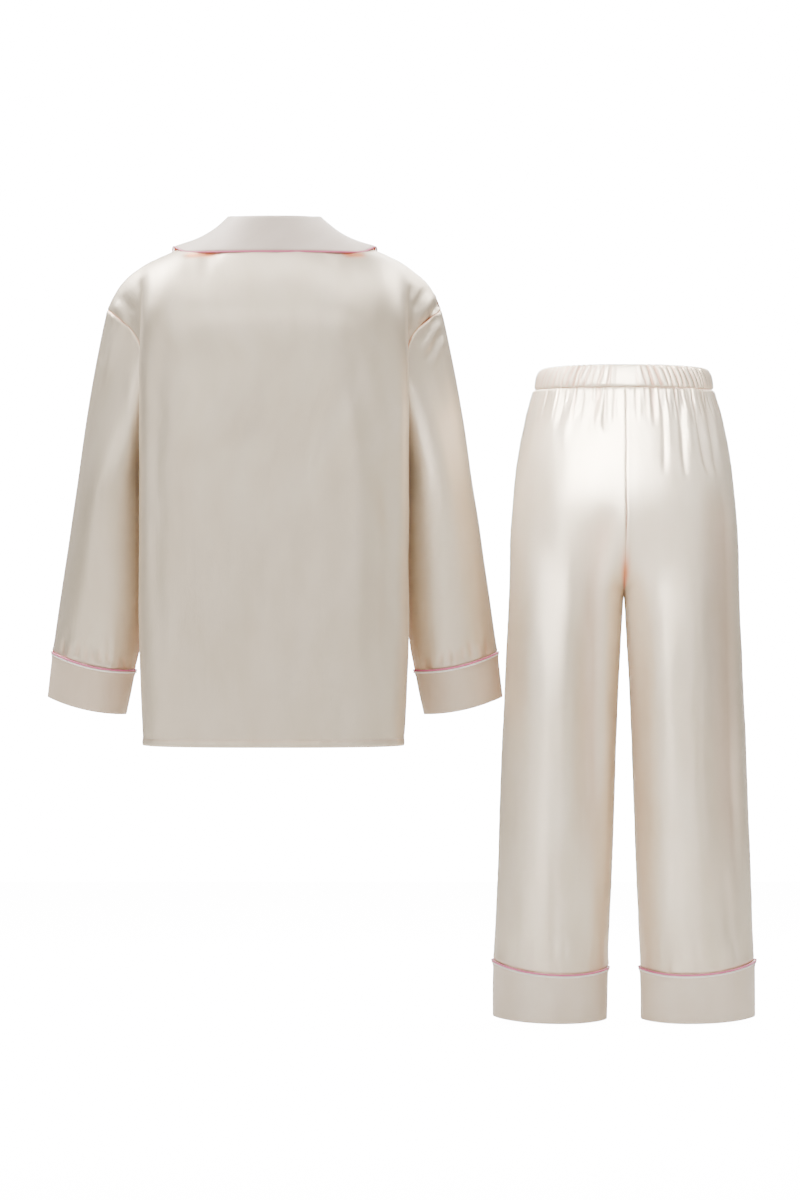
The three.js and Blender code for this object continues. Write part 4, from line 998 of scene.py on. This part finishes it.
for side, word in SIDES:
    rows = []
    for k in range(LAPEL_DOWN + 1):
        row = mix(LAPEL_TOP, LAPEL_FOOT, k / LAPEL_DOWN)
        width = LAPEL_WIDTH * (1 - LAPEL_TAPER * k / LAPEL_DOWN)
        spots = [on_front(side, row, LAPEL_INSET + width * t / LAPEL_ACROSS)
                 for t in range(LAPEL_ACROSS + 1)]
        rows.append([point + out * LAPEL_CLEAR for point, out in spots])
    lapel = Cloth(refined(rows, 2.5), heart=TOP_HEART)
    lapel.drape(0.3, (14, 20), seed=71 + side)
    for edge in ("top", "start", "end"):
        lapel.lift -= 0.4 * hill(lapel.off(edge), 0.9)
    piece = lapel.build(f"lapel_{word}_cloth", SATIN, thick=LAPEL_CLOTH)
    dress(f"lapel_{word}")

# The buttons: four pearly discs down the right front, each turned with a raised rim and four holes,
# and sewn on with a cross of thread
BUTTON_SIDES, HOLE_SIDES = 40, 14
HOLE_RADIUS, HOLE_OFF = 0.75, 1.45
BUTTON_THREAD, THREAD_APART = 0.26, 0.28
UP_FROM_CLOTH = np.array([0, 1, 0])
BUTTON_PROFILE = [(0, 0.0), (4.9, 0.0), (5.5, 0.35), (5.8, 1.0), (5.75, 1.7), (5.3, 2.3), (4.7, 2.4),
                  (4.1, 2.1), (3.5, 1.6), (2.6, 1.55), (0, 1.55)]
HOLE_PROFILE = [(0, 0.5), (HOLE_RADIUS, 0.5), (HOLE_RADIUS, 1.62), (0, 1.58)]
PEARL = mottled("pearl button", paint(236, 228, 216), paint(206, 194, 186), 260,
                {"Coat Weight": 0.5, "Coat Roughness": 0.12, "Roughness": 0.3}, swirl=1.5)
DARK = mottled("button hole shade", paint(120, 104, 92), paint(96, 82, 72), 900,
               {"Roughness": 0.7}, place="Generated")


def lathe(profile, sides):
    """Rings of points round +y, with the two ends of the profile closed to a point."""
    vertices = [(0, profile[0][1], 0)]
    for radius, height in profile[1:-1]:
        for k in range(sides):
            turn = math.radians(360 * k / sides)
            vertices.append((radius * math.cos(turn), height, radius * math.sin(turn)))
    vertices.append((0, profile[-1][1], 0))
    faces, rings, end = [], len(profile) - 2, len(vertices) - 1
    for k in range(sides):
        nxt = (k + 1) % sides
        faces.append([0, 1 + k, 1 + nxt])
        for ring in range(rings - 1):
            a, b = 1 + ring * sides, 1 + (ring + 1) * sides
            faces.append([a + k, b + k, b + nxt, a + nxt])
        top = 1 + (rings - 1) * sides
        faces.append([end, top + nxt, top + k])
    return np.array(vertices, float), faces


def button_part(kind, k, vertices, faces, material):
    """One piece of a button, set where the plain button's foot is."""
    low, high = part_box(f"button_{k}")
    centre = np.array([(low[0] + high[0]) / 2, low[1], (low[2] + high[2]) / 2]) / MM
    piece = solid(f"button_{kind}_{k}", np.array(vertices) + centre, faces, material)
    return piece


holes, hole_faces = [], []
for x, z in ((1, 1), (1, -1), (-1, 1), (-1, -1)):
    ring, ring_faces = lathe(HOLE_PROFILE, HOLE_SIDES)
    hole_faces += [[i + len(holes) for i in face] for face in ring_faces]
    holes += (ring + [x * HOLE_OFF, 0, z * HOLE_OFF]).tolist()
threads, thread_faces = [], []
for start, end in (((-1, 0, -1), (1, 0, 1)), ((-1, 0, 1), (1, 0, -1))):
    start, end = np.array(start) * HOLE_OFF, np.array(end) * HOLE_OFF
    aside = unit(np.cross(UP_FROM_CLOTH, end - start))
    for shift in (-THREAD_APART, THREAD_APART):
        centres = [mix(start, end, share) + aside * shift + UP_FROM_CLOTH * height
                   for share, height in ((0, 1.35), (0.2, 1.95), (0.8, 1.95), (1, 1.35))]
        add_thread(threads, thread_faces, centres, [aside] * THREAD_RINGS, [UP_FROM_CLOTH] * THREAD_RINGS,
                   [BUTTON_THREAD] * THREAD_RINGS)
for k in range(1, 5):
    disc = button_part("disc", k, *lathe(BUTTON_PROFILE, BUTTON_SIDES), PEARL)
    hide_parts(f"button_{k}")
    button_part("holes", k, holes, hole_faces, DARK)
    button_part("thread", k, threads, thread_faces, THREAD)

# The trouser legs: four cuts, a back and a front for each leg. They are joined at the sides, up the
# middle and down the inside leg, and drawn into gathers below the waistband. Long soft folds hang
# from the gathers over the seat, and the legs fall straight and wide from there.
TROUSERS_X = 496
HIPS = {"at": [-600, -470, -412, -355, -298, -241, -213, -199],
        "half": [168, 163, 161.5, 157.5, 151.5, 139.5, 130.5, 126],
        "back": [112, 116, 118, 118, 115, 106, 100, 97],
        "front": [104, 106, 107, 106, 104, 100, 96, 94]}
LEGS = {"at": [-1012, -951, -838, -724, -639, -582, -520, -483],
        "outer": [184.5, 182, 178, 174, 170, 168, 165, 163.5],
        "inner": [23, 20.6, 16, 12, 8.5, 5.7, 2.2, 0],
        "half": [86, 88, 92, 97, 101, 104, 107, 109]}
CROTCH_TOP, CROTCH_FOOT, LEG_TOP, LEG_FOOT = -380, -483, -320, -650
HIP_ROUNDNESS, LEG_ROUNDNESS = 2.25, 2.2
WAIST_Z, LEG_END = -199, -1012
LEG_TILT, LEG_HEM_SAG, HEM_SLANT_FROM, HEM_SLANT_REACH = 5, 13, -820, 190
WAIST_TILT, WAIST_REACH, WAIST_GAP = 0.03, 50, 1
LEAST_REACH = 60
LEG_FOLDS = [
    (LEFT, BACK, 0.62, 6, 0.09, -480, -1000), (LEFT, BACK, 0.3, -4, 0.12, -420, -1000),
    (RIGHT, BACK, 0.36, 6, 0.09, -420, -980), (RIGHT, BACK, 0.66, -4, 0.12, -480, -1000),
    (LEFT, FRONT, 0.45, 6, 0.1, -450, -990), (RIGHT, FRONT, 0.5, 6, 0.1, -440, -990),
]


def power(value, roundness):
    return np.sign(value) * np.abs(value) ** (2 / roundness)


def table_at(table, key, z):
    return through(table["at"], table[key], z)


def leg_surface(side, face, across, z):
    """The form of a leg panel. across is 0 at the side seam and 1 at the middle or inside seam."""
    hip_turn, leg_turn = np.radians(90 * across), np.radians(180 * across)
    hip_x = table_at(HIPS, "half", z) * power(np.cos(hip_turn), HIP_ROUNDNESS)
    hip_y = table_at(HIPS, "back" if face == BACK else "front", z) * power(np.sin(hip_turn), HIP_ROUNDNESS)
    outer, inner = table_at(LEGS, "outer", z), table_at(LEGS, "inner", z)
    leg_x = (inner + outer) / 2 + (outer - inner) / 2 * power(np.cos(leg_turn), LEG_ROUNDNESS)
    leg_y = table_at(LEGS, "half", z) * power(np.sin(leg_turn), LEG_ROUNDNESS)
    rounding = np.clip((CROTCH_TOP - z) / (CROTCH_TOP - CROTCH_FOOT), 0, 1)
    seam = 1 - np.sqrt(1 - rounding * rounding)
    cloth = ease((LEG_TOP - z) / (LEG_TOP - LEG_FOOT))
    leg = mix(cloth, seam, across ** 5)
    x, y = np.maximum(0, mix(hip_x, leg_x, leg)), mix(hip_y, leg_y, leg)
    fold = 0
    for fold_side, fold_face, middle, depth, width, top, foot in LEG_FOLDS:
        if (fold_side, fold_face) == (side, face):
            fade = ease((top - z) / 120) * ease((z - foot) / 60)
            fold = fold + depth * hill(across - middle, width) * fade
    y = y * (1 - fold / np.maximum(LEAST_REACH, np.hypot(x, y)))
    points = np.stack([side * x, face * y, z + 0 * x], axis=-1)
    place = (x - (inner + outer) / 2) / ((outer - inner) / 2)
    behind = np.maximum(0, -points[..., 1] / table_at(LEGS, "half", z))
    hem = ease((HEM_SLANT_FROM - z) / HEM_SLANT_REACH)
    waist = 1 - ease((WAIST_Z - z) / WAIST_REACH)
    points[..., 2] += hem * (LEG_TILT * place - LEG_HEM_SAG * behind ** 2)
    points[..., 2] -= waist * WAIST_TILT * points[..., 1] + WAIST_GAP * hill(z - WAIST_Z, 12)
    points[..., 0] += TROUSERS_X
    return points


# The folds below the band and down the legs, from the trousers' middle: path, width, depth
SEAT_FOLDS = {
    LEFT: [
        ([(-28, -205), (-31, -240), (-30, -262)], (2.4, 5), -2.4),
        ([(-18, -205), (-17, -228), (-18, -250)], 3, -1.6),
        ([(-40, -204), (-46, -228), (-48, -250)], 3.4, -1.5),
        ([(-56, -204), (-64, -226), (-68, -246)], 4, -1.5),
        ([(-80, -204), (-90, -228), (-97, -256)], 4, -1.6),
        ([(-100, -204), (-112, -232), (-119, -262)], 4.5, -1.3),
        ([(-113, -206), (-126, -240), (-134, -280)], 4, 1.2),
        ([(-34, -206), (-38, -236), (-40, -268)], 4, 1.5),
        ([(-70, -206), (-80, -240), (-90, -290)], 6, 1.3),
    ],
    RIGHT: [
        ([(24, -206), (26, -226), (26, -242)], 3, -1.4),
        ([(38, -204), (40, -232), (41, -252)], 3, -1.5),
        ([(51, -204), (53, -244), (53, -290), (51, -326)], (2.6, 6), -2.6),
        ([(58, -206), (60, -246), (59, -300)], 5, 1.3),
        ([(76, -204), (78, -240), (80, -290), (83, -334)], (3, 5), -3.0),
        ([(86, -206), (89, -246), (92, -300)], 4, 1.5),
        ([(91, -204), (96, -230), (99, -256)], 3, -1.9),
        ([(100, -222), (104, -250), (110, -300), (117, -326)], (3, 5), -2.8),
        ([(108, -206), (113, -246), (120, -300)], 4, 1.4),
        ([(115, -204), (120, -240), (124, -290), (127, -338)], (3, 5), -2.9),
        ([(121, -206), (128, -250), (133, -310)], 4, 1.2),
        ([(66, -206), (69, -226), (70, -246)], 3, -1.3),
    ],
}
LEG_DRAPES = {
    LEFT: [
        ([(-10, -362), (-24, -392), (-37, -440), (-41, -560), (-41, -780), (-40, -1000)], (24, 12), -7.5),
        ([(-104, -270), (-92, -390), (-84, -560), (-82, -780), (-84, -990)], 17, 3.0),
        ([(-24, -420), (-26, -600), (-27, -800), (-28, -990)], 7, 1.6),
        ([(-112, -430), (-116, -620), (-120, -820), (-124, -980)], 22, 2.4),
        ([(-150, -380), (-156, -560), (-160, -760), (-166, -960)], 9, -1.6),
        ([(-30, -700), (-30, -850), (-34, -1000)], 7, -1.4),
        ([(-96, -880), (-102, -1004)], 8, -1.2),
        ([(-140, -900), (-150, -1004)], 7, 0.9),
    ],
    RIGHT: [
        ([(40, -380), (50, -520), (54, -740), (58, -960)], 20, 2.2),
        ([(14, -430), (22, -560), (26, -760), (32, -980)], 9, -1.4),
        ([(118, -322), (138, -372), (148, -460), (152, -640), (156, -820), (160, -990)], (32, 9), -8.5),
        ([(98, -400), (100, -600), (104, -820), (108, -990)], 16, 2.4),
        ([(160, -400), (163, -600), (168, -800), (174, -980)], 6, 1.8),
        ([(64, -820), (68, -920), (66, -1004)], 8, -1.4),
        ([(140, -860), (150, -1004)], 7, -1.2),
    ],
}
HEM_PUCKERS = [(28, 3.4, -0.9), (52, 3, 0.8), (88, 3.4, -1.0), (104, 3, -0.8), (131, 3.2, 0.8),
               (158, 3.4, -0.9)]
LEG_GRID = {BACK: (104, 4.6), FRONT: (56, 6.5)}
BESIDE_SEAMS = np.array([0.004, 0.009, 0.016])
GATHERS, GATHER_RISE, GATHER_PAINTED_SHADE = 18, 3.4, 0.42
GATHERS_FROM, GATHERS_TALL = -262, 58
SEAT_FILL, SEAT_HEIGHT, SEAT_REACH = 7.5, -362, 62
SEAT_FROM = {LEFT: (0.42, 0.34), RIGHT: (0.05, 0.3)}
DRAWN_IN, DRAWN_HEIGHT, DRAWN_REACH = 2.5, -222, 34
FORK_HEIGHT, FORK_REACH, FORK_PAINTED_SHADE, INSIDE_LEG_PAINTED_SHADE = CROTCH_FOOT + 22, 34, 0.85, 0.45
DEEP_FOLD, FOLD_PAINTED_SHADE = -4, 0.17
# A paler copy of the ivory satin: the extra brightness is painted light on the trousers and waistband
PAINTED_BRIGHTER_LEG_SATIN = satin("trouser satin painted brighter", paint(238, 223, 200), paint(231, 214, 188), paint(204, 124, 78))
for side, word in SIDES:
    for face, cut in ((BACK, "back"), (FRONT, "front")):
        places, spacing = LEG_GRID[face]
        across = np.unique(np.concatenate([np.linspace(0, 1, places), BESIDE_SEAMS, 1 - BESIDE_SEAMS]))
        heights = spread(WAIST_Z - LEG_END, spacing, True, True)
        z, share = np.meshgrid(WAIST_Z - heights, across, indexing="ij")
        leg = Cloth(leg_surface(side, face, share, z), heart=(TROUSERS_X + side * 85, 0, -600))
        crest = np.abs(np.sin(np.pi * (share * GATHERS + 0.24 * np.sin(share * GATHERS * 4.8))))
        strength = 1 + 0.5 * cloud(share * GATHERS, z * 0, (1, 1), 81 + side + face)
        gathered = ease((z - GATHERS_FROM) / GATHERS_TALL) ** 1.4
        leg.lift += GATHER_RISE * (crest - 0.35) * strength * gathered
        # Painted warm shade and glow in the valleys between the gathers
        between = GATHER_PAINTED_SHADE * (1 - crest) ** 3 * gathered * strength
        leg.painted_shade_glow = np.maximum(leg.painted_shade_glow, np.clip(between, 0, 1))
        folds = SEAT_FOLDS[side] if face == BACK else [
            ([(x * side, height) for x, height in path], width, depth)
            for path, width, depth in SEAT_FOLDS[RIGHT][::2]]
        drapes = LEG_DRAPES[side] if face == BACK else [
            ([(abs(x) * side, height) for x, height in path], width, depth)
            for path, width, depth in LEG_DRAPES[-side][2:7]]
        puckers = [([(side * x, -1008), (side * (x - 3), -992), (side * (x - 4), -972)], width, depth)
                   for x, width, depth in HEM_PUCKERS]
        for path, width, depth in folds + drapes + puckers:
            # Deep pressed-in folds get painted warm shade
            leg.crease([(TROUSERS_X + x, height) for x, height in path], width, depth, face,
                       painted_glow=FOLD_PAINTED_SHADE if depth < DEEP_FOLD else 0)
        if face == BACK:
            start, reach = SEAT_FROM[side]
            filled = SEAT_FILL * hill(z - SEAT_HEIGHT, SEAT_REACH)
            drawn_in = DRAWN_IN * hill(z - DRAWN_HEIGHT, DRAWN_REACH)
            leg.lift += (filled - drawn_in) * ease((share - start) / reach)
        leg.drape(0.7, (28, 110), seed=83 + side + 2 * face)
        leg.drape(0.25, (9, 40), seed=84 + side + 2 * face)
        leg.sew("start", seed=85 + side, pucker=0.3)
        leg.sew("end", seed=86 + face, pucker=0.3, tuck=0.2, painted_glow=0.1)
        leg.sew("top", seed=87, tuck=1.2, pucker=0.5, pitch=6, painted_glow=0.1)
        leg.sew("foot", seed=88 + side, tuck=0.8, pucker=1.6, pitch=9.5, reach=16)
        # Painted warm shade and glow in the fork and down the inside leg
        fork = hill(leg.off("end"), 6.5) * hill(z - FORK_HEIGHT, FORK_REACH)
        inside_leg = hill(leg.off("end"), 4.5) * ease((CROTCH_FOOT - z) / 40)
        leg.painted_shade_glow = np.maximum(leg.painted_shade_glow, np.maximum(FORK_PAINTED_SHADE * fork, INSIDE_LEG_PAINTED_SHADE * inside_leg))
        piece = leg.build(f"leg_{cut}_{word}_cloth", PAINTED_BRIGHTER_LEG_SATIN)
        dress(f"leg_{cut}_{word}")

# The leg cuffs: deep bands of doubled satin round each leg, hanging a little lower at the back and
# trimmed at the top with the same piping and rolled edge as the sleeves'
LEG_CUFF = {"at": [-1089, -1050, -1013], "outer": [186.5, 186.5, 185.8], "inner": [23.6, 23.2, 22.6],
            "half": [86, 87, 87.2], "tilt": [2, 3.5, 5], "sag": [6, 9, 13]}
# Paler than the sleeve cuffs' satin: the extra brightness is painted light on the trouser cuffs
PAINTED_BRIGHTER_LEG_CUFF_SATIN = satin("trouser cuff satin painted brighter", paint(224, 208, 188), paint(217, 199, 176), PAINTED_GLOW_COLOUR, **CRISP)
LEG_CUFF_COLUMNS, PIPING_UP = 28, 0.3


def leg_cuff_ring(side, z):
    value = {key: float(table_at(LEG_CUFF, key, z)) for key in LEG_CUFF}
    turn = np.radians(np.arange(LEG_CUFF_COLUMNS) * 360 / LEG_CUFF_COLUMNS)
    place, deep = power(np.cos(turn), LEG_ROUNDNESS), power(np.sin(turn), LEG_ROUNDNESS)
    x = (value["inner"] + value["outer"]) / 2 + (value["outer"] - value["inner"]) / 2 * place
    drop = value["tilt"] * place - value["sag"] * np.maximum(0, deep) ** 2
    return np.stack([TROUSERS_X + side * x, -value["half"] * deep, z + drop], axis=1)


for side, word in SIDES:
    rows = [leg_cuff_ring(side, z) for z in reversed(LEG_CUFF["at"])]
    cuff = Cloth(refined(rows, CUFF_FINE, closed=True), heart=(TROUSERS_X + side * 104, 0, -1050),
                 closed=True)
    finish_cuff(cuff, 91 + side)
    piece = cuff.build(f"leg_cuff_{word}_cloth", PAINTED_BRIGHTER_LEG_CUFF_SATIN, thick=CUFF_CLOTH)
    dress(f"leg_cuff_{word}")
    trim_cuff("leg", word, leg_cuff_ring(side, LEG_CUFF["at"][-1] + PIPING_UP))

# The waistband: satin folded over a wide elastic, which draws it into close upright gathers. They
# lean a little towards the sides, and a short stretch at the middle of the back lies plain.
BAND = {"at": [-199, -190, -180, -171], "half": [126, 125.5, 123.5, 118.6],
        "depth": [96, 95.5, 94, 91], "tilt": [0.03, 0.045, 0.06, 0.076]}
BAND_GATHERS, BAND_RISE, BAND_LEAN, BAND_PLAIN = 78, 4.4, 0.05, 12
BAND_POINTS, BAND_MIDDLE, BAND_HALF_TALL, BAND_CLOTH = 936, -185, 14, 2.2
BAND_HEIGHTS = [-199, -198.4, -197.4, -196, -194, -191.5, -188.5, -185.5, -182.5, -179.5, -176.5,
                -174, -172.4, -171.4, -171]
turn = np.linspace(0, 2 * np.pi, BAND_POINTS, endpoint=False)
z, around = np.meshgrid(np.array(BAND_HEIGHTS), turn, indexing="ij")
half, depth, tilt = (table_at(BAND, key, z) for key in ("half", "depth", "tilt"))
band_x = half * power(np.sin(around), HIP_ROUNDNESS)
band_y = -depth * power(np.cos(around), HIP_ROUNDNESS)
band_points = np.stack([TROUSERS_X + band_x, band_y, z - tilt * band_y], axis=-1)
band = Cloth(band_points, heart=(TROUSERS_X, 0, BAND_MIDDLE), closed=True)
lean = BAND_LEAN * (z - BAND_MIDDLE) * np.tanh(3 * np.sin(around)) / BAND_HALF_TALL
count = (around + lean) / (2 * np.pi) * BAND_GATHERS
count = count + 0.3 * cloud(around * 30, z * 0.3, (2.6, 20), 101)
nearest = np.abs(count - np.round(count))
depths = np.random.default_rng(103).uniform(0.5, 1.1, BAND_GATHERS)
sharp = hill(nearest, 0.21) * depths[np.round(count).astype(int) % BAND_GATHERS]
size = 1 + 0.3 * cloud(around * 40, z * 0.2, (3.1, 9), 102)
off_middle = np.abs(np.sin(around)) * BAND["half"][0]
plain = np.where(np.cos(around) > 0, ease((off_middle - BAND_PLAIN + 4) / 8), 1)
ends = ease((z + 200.5) / 5) * (0.6 + 0.4 * ease((-170 - z) / 6))
gathers = 0.1575 * np.cos(2 * np.pi * count) + 0.5 - 1.2 * sharp
band.lift += BAND_RISE * gathers * size * plain * ends
band.lift -= 1.1 * hill(band.off("foot"), 1.5) + 1.6 * hill(band.off("top"), 1.3)
# Painted warm shade and glow in the folds of the gathers
band.painted_shade_glow = np.maximum(band.painted_shade_glow, 0.5 * sharp * plain * ends)
band_piece = band.build("waistband_cloth", PAINTED_BRIGHTER_LEG_SATIN, thick=BAND_CLOTH)
dress("waistband")

# The studio: a pale floor under the trousers, soft light from above the camera, and a camera far
# behind the set, as for a garment photographed flat on
STAGE_HALF = 6
floor_z = cad_box[0][2] - 0.001
floor_mesh = bpy.data.meshes.new("floor")
corners = [(x * STAGE_HALF, y * STAGE_HALF, floor_z) for x, y in ((-1, -1), (1, -1), (1, 1), (-1, 1))]
floor_mesh.from_pydata(corners, [], [(0, 1, 2, 3)])
floor = bpy.data.objects.new("floor", floor_mesh)
bpy.context.scene.collection.objects.link(floor)


def seen_brighter(tree, plain, bright, end):
    """The camera sees the bright shader, and the set is lit by the plain one."""
    ray = shader_node(tree, "LightPath").outputs["Is Camera Ray"]
    seen = shader_node(tree, "MixShader", {0: ray, 1: plain.outputs[0], 2: bright.outputs[0]})
    fill(tree, tree.nodes[end], {"Surface": seen.outputs[0]})


paper = bpy.data.materials.new("pale floor")
paper.use_nodes = True
paper_tree = paper.node_tree
paper_base = paper_tree.nodes["Principled BSDF"]
fill(paper_tree, paper_base, {"Base Color": paint(226, 224, 221), "Roughness": 0.9,
                              "Specular IOR Level": 0.1})
paper_glow = shader_node(paper_tree, "Emission", {"Strength": 15})
paper_lit = shader_node(paper_tree, "AddShader", {0: paper_base.outputs[0], 1: paper_glow.outputs[0]})
seen_brighter(paper_tree, paper_base, paper_lit, "Material Output")
floor_mesh.materials.append(paper)

world = bpy.data.worlds.new("studio")
world.use_nodes = True
bpy.context.scene.world = world
sky_tree = world.node_tree
sky_place = shader_node(sky_tree, "TexCoord").outputs["Generated"]
sky_up = shader_node(sky_tree, "SeparateXYZ", {0: sky_place}).outputs["Z"]
overhead = shader_node(sky_tree, "MapRange", {"Value": sky_up, "From Min": 0.25, "From Max": 0.95,
                                              "To Min": 0.14, "To Max": 0.2},
                       interpolation_type="SMOOTHSTEP")
sky = sky_tree.nodes["Background"]
fill(sky_tree, sky, {"Color": (1, 0.985, 0.97, 1), "Strength": overhead.outputs["Result"]})
backdrop = shader_node(sky_tree, "Background", {"Color": (1, 1, 1, 1), "Strength": 18})
seen_brighter(sky_tree, sky, backdrop, "World Output")


def softbox(name, place, target, size, watts, spread=180):
    """A large lamp that faces its target. A smaller spread is a grid over it, that keeps its light in."""
    lamp = bpy.data.lights.new(name, "AREA")
    lamp.shape = "RECTANGLE"
    lamp.size, lamp.size_y = size
    lamp.energy = watts
    lamp.spread = math.radians(spread)
    holder = bpy.data.objects.new(name, lamp)
    holder.location = place
    away = np.array(target) - np.array(place)
    level = math.hypot(away[0], away[1])
    holder.rotation_euler = (math.atan2(level, -away[2]), 0, math.atan2(-away[0], away[1]))
    holder.visible_camera = False
    bpy.context.scene.collection.objects.link(holder)


MIDDLE = (0.18, 0, -0.5)


def seen_from(azimuth, elevation, distance):
    """A place as seen from the middle of the set: 0 is towards the camera, and right is above 0."""
    turn, tip = math.radians(azimuth), math.radians(elevation)
    return (MIDDLE[0] + distance * math.sin(turn) * math.cos(tip),
            MIDDLE[1] - distance * math.cos(turn) * math.cos(tip), MIDDLE[2] + distance * math.sin(tip))


softbox("low key", seen_from(-12, 20, 3.4), MIDDLE, (4.2, 0.7), 52)
softbox("key", seen_from(-15, 36, 3.2), MIDDLE, (3.6, 0.7), 38)
softbox("high", seen_from(0, 72, 2.8), MIDDLE, (2.8, 1.2), 68)
softbox("over left", seen_from(-118, 52, 2.6), MIDDLE, (1.4, 1.2), 150)
softbox("over right", seen_from(112, 52, 2.6), MIDDLE, (1.4, 1.2), 80)
softbox("front left", seen_from(-58, 4, 3.2), MIDDLE, (0.9, 1.9), 12)
softbox("front right", seen_from(55, 4, 3.2), MIDDLE, (0.9, 1.9), 9)
softbox("far side", seen_from(160, 35, 3.4), MIDDLE, (1.6, 1.2), 90)
softbox("seat left", (0, -1.7, 0.5), (0.47, -0.1, -0.27), (0.25, 0.15), 0.6, spread=16)
softbox("seat right", (0.6, -1.7, 0.42), (0.53, -0.1, -0.27), (0.25, 0.15), 0.38, spread=16)
softbox("hip", (-0.75, -1.5, 0.25), (0.4, -0.05, -0.33), (0.15, 0.25), 0.4, spread=12)
softbox("legs", (-0.25, -2, -0.35), (0.48, -0.05, -0.68), (0.15, 0.8), 0.4, spread=14)
softbox("band", (0.4, -1.7, -0.1), (0.5, -0.1, -0.2), (0.25, 0.1), 0.18, spread=14)

CAMERA_FAR, VIEW_TALL, SENSOR = 12, 1.704, 36
VIEW_X, VIEW_Z = 0.178, -0.497
lens = bpy.data.cameras.new("camera")
lens.sensor_width = SENSOR
lens.lens = SENSOR * CAMERA_FAR / VIEW_TALL
lens.clip_end = 100
camera = bpy.data.objects.new("camera", lens)
camera.location = (VIEW_X, -CAMERA_FAR, VIEW_Z)
camera.rotation_euler = (math.radians(90), 0, 0)
bpy.context.scene.collection.objects.link(camera)
bpy.context.scene.camera = camera
